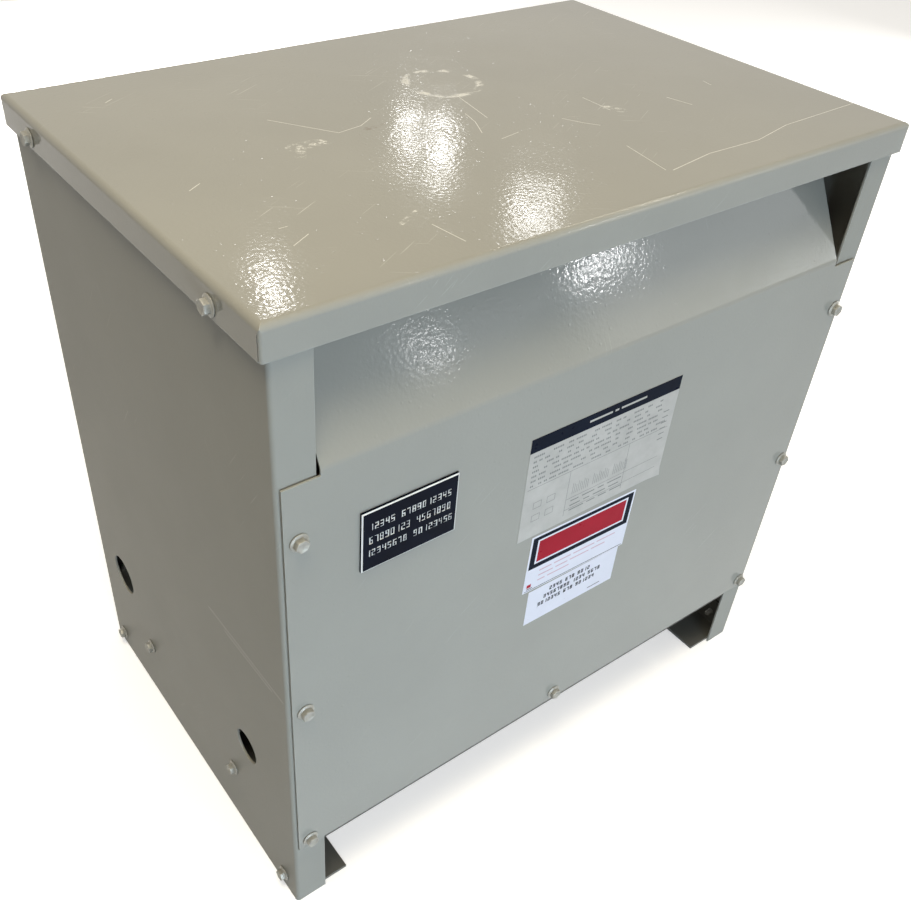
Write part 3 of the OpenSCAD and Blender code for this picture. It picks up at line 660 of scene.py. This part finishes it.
def lamination_finish(settings):
    """Stacked sheets seen edge on: fine lines across the stack, with rusty edges here and there."""
    rgb = settings.steel
    recipe = Recipe("core_steel_finish", rgb, 0.45, metallic=0.55)
    sheet = recipe.math("FRACT", recipe.times(recipe.axis("Y"), 1.0 / settings.lamination))
    gap = recipe.ramp(sheet, 0.75, 0.98)
    tone = recipe.noise(1.0, 2.0, source=recipe.moved((3, 900, 3)))
    base = recipe.mottled(recipe.ramp(tone, 0.3, 0.7), rgb, 0.7, 1.5)
    rust = recipe.ramp(recipe.noise(18.0, 5.0, 0.7), 0.58, 0.72, 0.0, 0.6)
    recipe.use("Base Color", recipe.blend(rust, base, (0.13, 0.055, 0.025)))
    recipe.use("Roughness", recipe.ramp(tone, 0.3, 0.7, 0.38, 0.6))
    recipe.use("Normal", recipe.bump(gap, 0.3 * MM, -0.5))
    return recipe.material


def satin_finish(name, rgb, roughness, grain, depth=0.3):
    """Satin paint, board, rubber or moulding: mottled, with a fine grain."""
    recipe = Recipe(name, rgb, roughness)
    cloud = recipe.ramp(recipe.noise(24.0, 5.0, 0.65), 0.3, 0.7)
    recipe.use("Base Color", recipe.mottled(cloud, rgb, 0.8, 1.2))
    low, high = roughness * 0.85, min(1.0, roughness * 1.2)
    recipe.use("Roughness", recipe.ramp(recipe.noise(60.0, 3.0), 0.3, 0.7, low, high))
    normal = recipe.bump(recipe.noise(grain, 3.0), 0.2 * MM, depth, recipe.rounded(0.5 * MM))
    recipe.use("Normal", normal)
    return recipe.material


def dress(nodes, material):
    """Gives each frame node that finish."""
    for name in nodes:
        mesh = NODES[name].data
        if not mesh.materials:
            mesh.materials.append(material)
        for slot in NODES[name].material_slots:
            slot.material = material


# ---- Pieces ----


class TRANSFORMER_OT_paint_enclosure(bpy.types.Operator):
    """Paint the sheet-metal pieces of the enclosure"""

    bl_idname = "transformer.paint_enclosure"
    bl_label = "Paint enclosure"

    def execute(self, context):
        settings = context.scene.transformer_enclosure
        lid = paint_finish(settings, "lid_enamel", marks=lid_marks, stain=lid_stain, wear=0.7)
        die_lines(lid, settings)
        recipes = {
            "lid": lid,
            "cover": paint_finish(settings, "cover_enamel", wear=0.2),
            "side": paint_finish(settings, "side_enamel", marks=side_marks, dull=0.32, wear=0.4),
            # Feet, sills and frame get darkened enamel as painted shade; the near-black sills stand for the shade
            # under the covers.
            "foot": paint_finish(settings, "foot_enamel_painted_shade", PAINTED_SHADE_SHARE["foot"], dull=0.2),
            "sill": paint_finish(settings, "sill_painted_shade", PAINTED_SHADE_SHARE["sill"], dull=0.3),
            "frame": paint_finish(settings, "frame_enamel_painted_shade", PAINTED_SHADE_SHARE["frame"], dull=0.2),
        }
        for group, nodes in PAINTED_NODES.items():
            dress(nodes, recipes[group].material)
        return {"FINISHED"}


def model_screw(settings):
    """Hexagon washer-head screw along +Z, with a spun shank and washer and a bevelled head.

    The underside of the washer lies on the XY plane.
    """
    rim, thickness = settings.washer_radius, settings.washer
    thread, pitch = settings.shank, settings.pitch
    tip = -shank_length() + 0.02 * MM
    profile = [(0.0, tip), (thread * 0.62, tip), (thread * 0.80, tip + pitch)]
    level = tip + pitch
    while level < -1.6 * pitch:
        profile += [(thread, level + 0.5 * pitch), (thread * 0.80, level + pitch)]
        level += pitch
    profile += [
        (thread * 0.95, -0.3 * MM), (thread * 0.95, 0.0), (rim - 0.15 * MM, 0.0), (rim, 0.15 * MM),
        (rim, thickness - 0.25 * MM), (rim - 0.25 * MM, thickness),
        (rim - 1.3 * MM, thickness + 0.30 * MM), (rim - 1.9 * MM, thickness + 0.75 * MM),
        (0.0, thickness + 0.75 * MM),
    ]
    mesh = bpy.data.meshes.new("screw_body")
    mesh.from_pydata([(r, 0.0, z) for r, z in profile], [(i, i + 1) for i in range(len(profile) - 1)], [])
    body = bpy.data.objects.new("screw_body", mesh)
    bpy.context.collection.objects.link(body)
    edit(body, "SELECT")
    bpy.ops.mesh.spin(steps=36, angle=2 * pi, center=(0, 0, 0), axis=(0, 0, 1))
    leave_edit()
    outward(body)

    corner = settings.flats / 2 / cos(radians(30))
    bottom = thickness + 0.5 * MM
    top = settings.head
    deselect_all()
    bpy.ops.mesh.primitive_cylinder_add(
        vertices=6, radius=corner, depth=top - bottom, location=(0, 0, (top + bottom) / 2)
    )
    head = settle(name_piece("screw_head"))
    edit(head)
    pick_faces(head, lambda centre, normal: normal.z > 0.9)
    bpy.ops.mesh.inset(thickness=0.55 * MM)
    pick_faces(head, lambda centre, normal: normal.z > 0.9 and centre.xy.length < 0.5 * MM)
    bpy.ops.mesh.inset(thickness=0.7 * MM)
    slide_up(-0.35 * MM)
    bpy.ops.mesh.inset(thickness=1.3 * MM)
    slide_up(-0.5 * MM)
    pick_edges(
        head,
        lambda a, b: min(a.z, b.z) > top - 0.01 * MM and min(a.xy.length, b.xy.length) > corner - 0.05 * MM,
    )
    slide_up(-0.45 * MM)
    leave_edit()
    finish_modifier(head, "BEVEL", width=0.28 * MM, segments=3, limit_method="ANGLE", angle_limit=radians(25))
    screw = join_pieces([body, head], "screw")
    bpy.ops.object.shade_smooth_by_angle(angle=radians(32))
    return screw


def shank_length():
    """Length of a screw's shank, from the frame: its whole length less its head."""
    low, high = solids_of("top_cover_screws")[0]
    return (high.x - low.x) - bpy.context.scene.transformer_screws.head


def screw_place(box, head, twist):
    """Where a screw goes: on its node's solid, with its head outwards, along the solid's longest side."""
    low, high = box
    size = high - low
    centre = (low + high) / 2
    lengthways = max(range(3), key=lambda i: size[i])
    outwards = 1.0 if centre[lengthways] > 0 else -1.0
    seat = centre.copy()
    seat[lengthways] = (high if outwards > 0 else low)[lengthways] - outwards * head
    direction = Vector((0, 0, 0))
    direction[lengthways] = outwards
    turn = direction.to_track_quat("Z", "Y").to_matrix().to_4x4()
    return Matrix.Translation(seat) @ turn @ Matrix.Rotation(twist, 4, "Z")


class TRANSFORMER_OT_screws(bpy.types.Operator):
    """Model the hexagon washer-head screws of the covers, lid and feet"""

    bl_idname = "transformer.screws"
    bl_label = "Screws"

    def execute(self, context):
        settings = context.scene.transformer_screws
        zinc = plated_finish("zinc_plate", settings.zinc, 0.40, metallic=0.30)
        screw = model_screw(settings)
        screw.data.materials.append(zinc)
        twists = random.Random(SCREW_SEED)
        for node in ("front_cover_screws", "rear_cover_screws", "top_cover_screws", "side_screws"):
            copies = [
                copy_to(screw, screw_place(box, settings.head, twists.uniform(0, pi / 3)))
                for box in solids_of(node)
            ]
            fit(join_pieces(copies, node + "_finished"), node)
        bpy.data.objects.remove(screw)
        return {"FINISHED"}


def sheet_on_cover(name, low, high, thickness):
    """A thin sheet flat against the front cover, between two corners given across and up."""
    (x0, z0), (x1, z1) = low, high
    return block(name, Vector((x0, FRONT_Y - thickness, z0)), Vector((x1, FRONT_Y, z1)))


def cut_lines(sheet, across, up):
    """Cuts the sheet along upright lines at each x in across and level lines at each z in up."""
    edit(sheet)
    cuts = [(Vector((x, 0, 0)), (1, 0, 0)) for x in across] + [(Vector((0, 0, z)), (0, 0, 1)) for z in up]
    for place, normal in cuts:
        bpy.ops.mesh.select_all(action="SELECT")
        bpy.ops.mesh.bisect(plane_co=place, plane_no=normal, threshold=1e-6)
    leave_edit()


def inked(centre, blocks):
    """The ink of the first block that holds the place, or None. A block is (x0, x1, z0, z1, ink)."""
    for x0, x1, z0, z1, ink in blocks:
        if x0 < centre.x < x1 and z0 < centre.z < z1:
            return ink
    return None


def print_blocks(sheet, blocks, inks):
    """Prints solid blocks on the front of a sheet: cuts its face at their sides and gives each its ink."""
    across = sorted({round(v, 6) for b in blocks for v in b[:2]})
    up = sorted({round(v, 6) for b in blocks for v in b[2:4]})
    cut_lines(sheet, across, up)
    for ink in inks:
        sheet.data.materials.append(ink)
    for face in sheet.data.polygons:
        if face.normal.y < -0.5:
            ink = inked(face.center, blocks)
            if ink is not None:
                face.material_index = ink


def word_blocks(left, level, words, letter, gap, height, ink):
    """A row of blank bars, one for each word, from its number of letters."""
    blocks = []
    for count in words:
        blocks.append((left, left + count * letter, level - height / 2, level + height / 2, ink))
        left += count * letter + gap
    return blocks


def figure_blocks(left, level, words, pitch, gap, height, stroke, ink, figures):
    """A row of plain figures, each made of straight strokes. figures gives the next figure each time."""
    blocks = []
    low, high = level - height / 2, level + height / 2
    for count in words:
        for _ in range(count):
            right = left + pitch * 0.70
            strokes = {
                "a": (left, right, high - stroke, high),
                "b": (right - stroke, right, level, high),
                "c": (right - stroke, right, low, level),
                "d": (left, right, low, low + stroke),
                "e": (left, left + stroke, low, level),
                "f": (left, left + stroke, level, high),
                "g": (left, right, level - stroke / 2, level + stroke / 2),
            }
            blocks += [(*strokes[letter], ink) for letter in FIGURE_STROKES[next(figures)]]
            left += pitch
        left += gap
    return blocks


def open_box(x0, x1, z0, z1, line, ink):
    """The four lines of an empty rectangle."""
    return [
        (x0, x1, z0, z0 + line, ink), (x0, x1, z1 - line, z1, ink),
        (x0, x0 + line, z0, z1, ink), (x1 - line, x1, z0, z1, ink),
    ]


class TRANSFORMER_OT_engraved_plate(bpy.types.Operator):
    """Model the bevelled engraving plate with three rows of plain figures cut into it"""

    bl_idname = "transformer.engraved_plate"
    bl_label = "Engraved plate"

    def execute(self, context):
        settings = context.scene.transformer_plates
        low, high = PLATE
        plate = block("engraved_plate_finished", low, high)
        dark = print_finish("laminate_face", settings.laminate, 0.33, 0.25, gloss=0.03)
        pale = print_finish("laminate_core", settings.core, 0.45)
        pitch = (high.x - low.x) / 18.5
        figures = cycle("1234567890")
        rows = []
        for share, words in ((0.73, (5, 10)), (0.51, (8, 7)), (0.29, (8, 8))):
            level = low.z + share * (high.z - low.z)
            start = (low.x + high.x) / 2 - (sum(words) + 0.7) * pitch / 2
            rows += figure_blocks(start, level, words, pitch, pitch, 6.6 * MM, 0.95 * MM, PRINT, figures)
        edit(plate)
        pick_faces(plate, lambda centre, normal: normal.y < -0.9)
        bpy.ops.mesh.inset(thickness=settings.bevel)
        leave_edit()
        bevelled = [v for v in plate.data.vertices if v.co.y < low.y + 1e-6]
        for vert in bevelled:
            if min(vert.co.x - low.x, high.x - vert.co.x, vert.co.z - low.z, high.z - vert.co.z) < 1e-5:
                vert.co.y += settings.bevel * 0.5
        print_blocks(plate, rows, [dark, pale])
        edit(plate)
        pick_faces(plate, lambda centre, normal: normal.y < -0.9 and inked(centre, rows) is not None)
        bpy.ops.mesh.extrude_region_move(TRANSFORM_OT_translate={"value": (0, settings.groove, 0)})
        leave_edit()
        for face in plate.data.polygons:
            slanted = -0.95 < face.normal.y < -0.2
            face.material_index = PRINT if slanted or inked(face.center, rows) is not None else SHEET
        fit(plate, "engraved_plate")
        return {"FINISHED"}


def rating_blocks(low, high):
    """Generic print of a rating plate: a dark band, rows of blank bars, ruled lines, coil marks and boxes."""
    x0, z0 = low
    x1, z1 = high
    line = 0.45 * MM
    blocks = word_blocks(x0 + 62 * MM, z1 - 7 * MM, (6, 1, 7), 4.2 * MM, 3 * MM, 2.0 * MM, SHEET)
    blocks.append((x0, x1, z1 - 14 * MM, z1, BAND))
    drawn = random.Random(PRINT_SEED)
    level = z1 - 19 * MM
    for _ in range(7):
        left = x0 + 5 * MM
        while left < x1 - 20 * MM:
            count = drawn.choice((2, 3, 4, 6))
            blocks += word_blocks(left, level, (1,) * count, 1.3 * MM, 0.6 * MM, 1.9 * MM, PRINT)
            left += count * 1.9 * MM + drawn.choice((2.2, 5.0, 9.0)) * MM
        level -= 5.0 * MM
    table_top = level + 1.5 * MM
    blocks.append((x0 + 3 * MM, x1 - 4 * MM, table_top, table_top + line, PRINT))
    for x in (x0 + 50 * MM, x0 + 118 * MM):
        blocks.append((x, x + line, z0 + 6 * MM, table_top, PRINT))
    for z in (z0 + 24 * MM, z0 + 12 * MM):
        blocks.append((x0 + 50 * MM, x1 - 8 * MM, z, z + line, PRINT))
    for i in range(26):
        x = x0 + (56 + 2.2 * i + 4 * (i // 9)) * MM
        blocks.append((x, x + 0.5 * MM, z0 + 28 * MM, z0 + 40 * MM - (i % 3) * 1.5 * MM, PRINT))
    for row, words in enumerate(((4, 6, 3, 7), (5, 3, 6, 5), (7, 4, 4, 6))):
        blocks += word_blocks(x0 + 56 * MM, z0 + (20.5 - 5.2 * row) * MM, words, 2.4 * MM, 4 * MM, 1.2 * MM, PRINT)
    for i in range(6):
        blocks.append((x1 - 14 * MM, x1 - 7 * MM, z0 + (44 + 6 * i) * MM, z0 + (45 + 6 * i) * MM, PRINT))
    for dx, dz in ((12, 32), (27, 32), (12, 18), (27, 18)):
        blocks += open_box(x0 + dx * MM, x0 + (dx + 9) * MM, z0 + dz * MM, z0 + (dz + 7) * MM, line, PRINT)
    return blocks


def bend_corner(sheet, corner, reach, drop, lift):
    """Bends up the sheet's lower right corner along a slanting crease."""
    crease = Vector((reach, 0, drop)).normalized()
    start = Vector((corner[0] - reach, FRONT_Y, corner[1]))
    across = Vector((crease.z, 0, -crease.x))
    edit(sheet, "SELECT")
    bpy.ops.mesh.bisect(plane_co=start, plane_no=across)
    leave_edit()
    for vert in sheet.data.vertices:
        past = (vert.co - start).dot(across)
        if past > 1e-6:
            vert.co.y -= past * sin(lift)
            vert.co -= across * past * (1 - cos(lift))


class TRANSFORMER_OT_rating_plate(bpy.types.Operator):
    """Model the foil rating plate with its generic print and bent corner"""

    bl_idname = "transformer.rating_plate"
    bl_label = "Rating plate"

    def execute(self, context):
        settings = context.scene.transformer_plates
        low, high = RATING_PLATE
        plate = sheet_on_cover("rating_plate", low, high, settings.foil_thickness)
        foil = print_finish("foil_face", settings.foil, 0.34, 0.09, metallic=0.25, grain=300.0)
        ink = print_finish("foil_print", settings.foil_ink, 0.38, 0.12, metallic=0.1)
        band = print_finish("foil_band", settings.band, 0.30, 0.2, gloss=0.02)
        print_blocks(plate, rating_blocks(low, high), [foil, ink, band])
        bend_corner(plate, (high[0], low[1]), 16 * MM, 8 * MM, radians(10))
        fit(plate)
        return {"FINISHED"}


class TRANSFORMER_OT_stickers(bpy.types.Operator):
    """Model the two stickers under the rating plate, with plain blocks of print"""

    bl_idname = "transformer.stickers"
    bl_label = "Stickers"

    def execute(self, context):
        settings = context.scene.transformer_plates
        vinyl = print_finish("vinyl_face", settings.vinyl, 0.30, 0.02)
        dark = print_finish("vinyl_dark", settings.band, 0.30, 0.15, gloss=0.02)
        red = print_finish("vinyl_red", settings.red, 0.30, 0.08, gloss=0.04)
        pink = print_finish("vinyl_faded", (0.62, 0.42, 0.50), 0.32, 0.06)
        inks = [vinyl, dark, red, pink]

        (x0, z0), (x1, z1) = UPPER_STICKER
        upper = sheet_on_cover("upper_sticker", *UPPER_STICKER, settings.vinyl_thickness)
        split = z0 + 0.40 * (z1 - z0)
        blocks = [
            (x0 + 10 * MM, x1 - 10 * MM, split + 8 * MM, z1 - 8 * MM, BAND),
            (x0 + 8 * MM, x1 - 8 * MM, split + 6 * MM, z1 - 6 * MM, SHEET),
            (x0 + 2 * MM, x1 - 2 * MM, split + 1 * MM, z1 - 2 * MM, PRINT),
            (x0 + 2 * MM, x1 - 2 * MM, z0 + 1.0 * MM, z0 + 1.7 * MM, PRINT),
            (x0 + 4 * MM, x0 + 9 * MM, z0 + 5 * MM, z0 + 9 * MM, BAND),
            (x0 + 4 * MM, x0 + 11 * MM, z0 + 3 * MM, z0 + 4 * MM, PRINT),
        ]
        for row, words in enumerate(((5, 7, 9, 8), (6, 5, 8, 6), (3, 9))):
            blocks += word_blocks(x0 + 16 * MM, split - (5 + 6 * row) * MM, words, 2.9 * MM, 3 * MM, 1.3 * MM, FADED)
        print_blocks(upper, blocks, inks)

        (x0, z0), (x1, z1) = LOWER_STICKER
        lower = sheet_on_cover("lower_sticker", *LOWER_STICKER, settings.vinyl_thickness)
        blocks = []
        figures = cycle("2345678901")
        for row, words in enumerate(((4, 3, 4), (8, 4, 4), (7, 3, 6))):
            start = x0 + (26 - 6 * row) * MM
            level = z1 - (8 + 7.5 * row) * MM
            blocks += figure_blocks(start, level, words, 4.1 * MM, 3 * MM, 4.8 * MM, 1.1 * MM, PRINT, figures)
        blocks += word_blocks(x1 - 32 * MM, z0 + 5 * MM, (10,), 1.6 * MM, 0, 0.8 * MM, PRINT)
        print_blocks(lower, blocks, inks)
        for sticker, turn in ((upper, radians(-1.5)), (lower, radians(-0.3))):
            centre = sum((Vector(c) for c in sticker.bound_box), Vector()) / 8
            sticker.data.transform(
                Matrix.Translation(centre) @ Matrix.Rotation(-turn, 4, "Y") @ Matrix.Translation(-centre)
            )
            fit(sticker)
        return {"FINISHED"}


class TRANSFORMER_OT_core_and_coils(bpy.types.Operator):
    """Finish the core, windings, clamps, blocks and pads"""

    bl_idname = "transformer.core_and_coils"
    bl_label = "Core and coils"

    def execute(self, context):
        settings = context.scene.transformer_coils
        varnished = winding_finish("coil_varnish", settings.varnish, settings.turn, 0.25)
        papered = winding_finish("coil_paper", settings.paper, 9 * MM, 0.45)
        for letter in "abc":
            dress([f"outer_winding_{letter}"], varnished)
            dress([f"inner_winding_{letter}"], papered)
        dress(["core"], lamination_finish(settings))
        dress(["duct_sticks", "lower_coil_blocks", "upper_coil_blocks"],
              satin_finish("pressed_board", settings.board, 0.6, 500.0))
        dress(["lower_front_clamp", "lower_rear_clamp", "upper_front_clamp", "upper_rear_clamp"],
              satin_finish("clamp_paint_finish", settings.clamp, 0.35, 350.0))
        dress(["tie_studs"], plated_finish("stud_plate", context.scene.transformer_screws.zinc, 0.4))
        dress(["isolation_pads"], satin_finish("pad_rubber_finish", settings.rubber, 0.75, 700.0, 0.5))
        return {"FINISHED"}


class TRANSFORMER_OT_terminals(bpy.types.Operator):
    """Finish the terminal boards, lead bars and strap"""

    bl_idname = "transformer.terminals"
    bl_label = "Terminals"

    def execute(self, context):
        settings = context.scene.transformer_coils
        dress(["front_terminal_board", "rear_terminal_board"],
              satin_finish("terminal_board_finish", settings.terminal_red, 0.4, 400.0))
        dress(["low_voltage_leads", "high_voltage_leads", "neutral_bar", "ground_strap"],
              plated_finish("bar_aluminium_finish", settings.aluminium, 0.32, (0.35, 0.34, 0.32)))
        return {"FINISHED"}


# ---- Stage ----


def add_lamp(name, place, target, size, power, tint=(1, 1, 1)):
    """A soft rectangular lamp that faces the target."""
    lamp = bpy.data.lights.new(name, "AREA")
    lamp.shape = "RECTANGLE"
    lamp.size, lamp.size_y = size
    lamp.energy = power
    lamp.color = tint
    holder = bpy.data.objects.new(name, lamp)
    bpy.context.collection.objects.link(holder)
    holder.location = place
    holder.rotation_euler = (Vector(target) - Vector(place)).to_track_quat("-Z", "Y").to_euler()


def floor_finish(settings):
    """Pale floor: near white to the camera and to glossy faces, with its shadow, and dimmer as a bounce."""
    recipe = Recipe("floor_finish", settings.floor, 0.9)
    seen = seen_directly(recipe.tree)
    bounce = tuple(FLOOR_BOUNCE * c for c in settings.floor)
    recipe.use("Base Color", recipe.blend(seen, bounce, settings.floor))
    recipe.use("Emission Color", (1.0, 1.0, 1.0, 1.0))
    recipe.use("Emission Strength", recipe.times(seen, FLOOR_GLOW))
    return recipe.material


def seen_directly(tree):
    """1 for rays from the camera, off glossy faces or through clear ones, and 0 for the rest."""
    path = tree.nodes.new("ShaderNodeLightPath")
    seen = path.outputs["Is Camera Ray"]
    for ray in ("Is Glossy Ray", "Is Transmission Ray"):
        either = tree.nodes.new("ShaderNodeMath")
        either.operation = "MAXIMUM"
        tree.links.new(seen, either.inputs[0])
        tree.links.new(path.outputs[ray], either.inputs[1])
        seen = either.outputs[0]
    return seen


def light_world(settings):
    """Light from all round, and a white background for what looks straight at it or at its reflection."""
    world = bpy.data.worlds.new("studio")
    bpy.context.scene.world = world
    world.use_nodes = True
    tree = world.node_tree
    tree.nodes.clear()
    out = tree.nodes.new("ShaderNodeOutputWorld")
    mix = tree.nodes.new("ShaderNodeMixShader")
    tree.links.new(seen_directly(tree), mix.inputs["Fac"])
    for socket, rgb, strength in ((1, settings.ambient_tint, settings.ambient), (2, (1.0, 1.0, 1.0), 1.0)):
        light = tree.nodes.new("ShaderNodeBackground")
        light.inputs["Color"].default_value = (*rgb, 1.0)
        light.inputs["Strength"].default_value = strength
        tree.links.new(light.outputs[0], mix.inputs[socket])
    tree.links.new(mix.outputs[0], out.inputs["Surface"])


def mirrored_lamp(face, spot, eye):
    """Where the lamp hangs that the eye sees mirrored at a spot across and back on the lid or the slope."""
    x, y = spot
    place, normal = (SLOPE_PLACE, SLOPE_NORMAL) if face == "slope" else (Vector((0, 0, LID_TOP)), Vector((0, 0, 1)))
    spot = Vector((x, y, place.z - (y - place.y) * normal.y / normal.z))
    return spot + LAMP_REACH * (spot - eye).normalized().reflect(normal), spot


class TRANSFORMER_OT_stage(bpy.types.Operator):
    """Set the floor, lamps and camera"""

    bl_idname = "transformer.stage"
    bl_label = "Stage"

    def execute(self, context):
        settings = context.scene.transformer_stage
        deselect_all()
        bpy.ops.mesh.primitive_grid_add(x_subdivisions=4, y_subdivisions=4, size=16.0, location=(0, 0, FLOOR_Z))
        floor = settle(name_piece("studio_floor"))
        floor.data.materials.append(floor_finish(settings))
        light_world(settings)

        for lamp in LAMPS:
            add_lamp(*lamp)
        for name, face, spot, size, power in MIRRORED_LAMPS:
            add_lamp(name, *mirrored_lamp(face, spot, Vector(settings.camera_place)), size, power)

        lens = bpy.data.cameras.new("camera")
        camera = bpy.data.objects.new("camera", lens)
        context.collection.objects.link(camera)
        camera.location = settings.camera_place
        camera.rotation_euler = settings.camera_turn
        lens.sensor_width = 36.0
        lens.lens = settings.lens
        lens.shift_x, lens.shift_y = settings.shift
        context.scene.camera = camera
        context.scene.view_settings.view_transform = "Standard"
        return {"FINISHED"}


class TRANSFORMER_PT_sidebar(bpy.types.Panel):
    """Lists the pieces and the stage"""

    bl_idname = "TRANSFORMER_PT_sidebar"
    bl_label = "Dry-type transformer"
    bl_space_type = "VIEW_3D"
    bl_region_type = "UI"
    bl_category = "Transformer"

    def draw(self, context):
        for operator in OPERATORS:
            self.layout.operator(operator.bl_idname)


SETTINGS = {
    "transformer_enclosure": EnclosureSettings,
    "transformer_screws": ScrewSettings,
    "transformer_plates": PlateSettings,
    "transformer_coils": CoilSettings,
    "transformer_stage": StageSettings,
}
OPERATORS = (
    TRANSFORMER_OT_stage,
    TRANSFORMER_OT_paint_enclosure,
    TRANSFORMER_OT_screws,
    TRANSFORMER_OT_engraved_plate,
    TRANSFORMER_OT_rating_plate,
    TRANSFORMER_OT_stickers,
    TRANSFORMER_OT_core_and_coils,
    TRANSFORMER_OT_terminals,
)


def register():
    for group in SETTINGS.values():
        bpy.utils.register_class(group)
    for name, group in SETTINGS.items():
        setattr(bpy.types.Scene, name, bpy.props.PointerProperty(type=group))
    for operator in OPERATORS:
        bpy.utils.register_class(operator)
    bpy.utils.register_class(TRANSFORMER_PT_sidebar)


def unregister():
    bpy.utils.unregister_class(TRANSFORMER_PT_sidebar)
    for operator in reversed(OPERATORS):
        bpy.utils.unregister_class(operator)
    for name in SETTINGS:
        delattr(bpy.types.Scene, name)
    for group in reversed(SETTINGS.values()):
        bpy.utils.unregister_class(group)


def main():
    register()
    bpy.ops.transformer.stage()
    bpy.ops.transformer.paint_enclosure()
    bpy.ops.transformer.screws()
    bpy.ops.transformer.engraved_plate()
    bpy.ops.transformer.rating_plate()
    bpy.ops.transformer.stickers()
    bpy.ops.transformer.core_and_coils()
    bpy.ops.transformer.terminals()


if __name__ == "__main__":
    main()
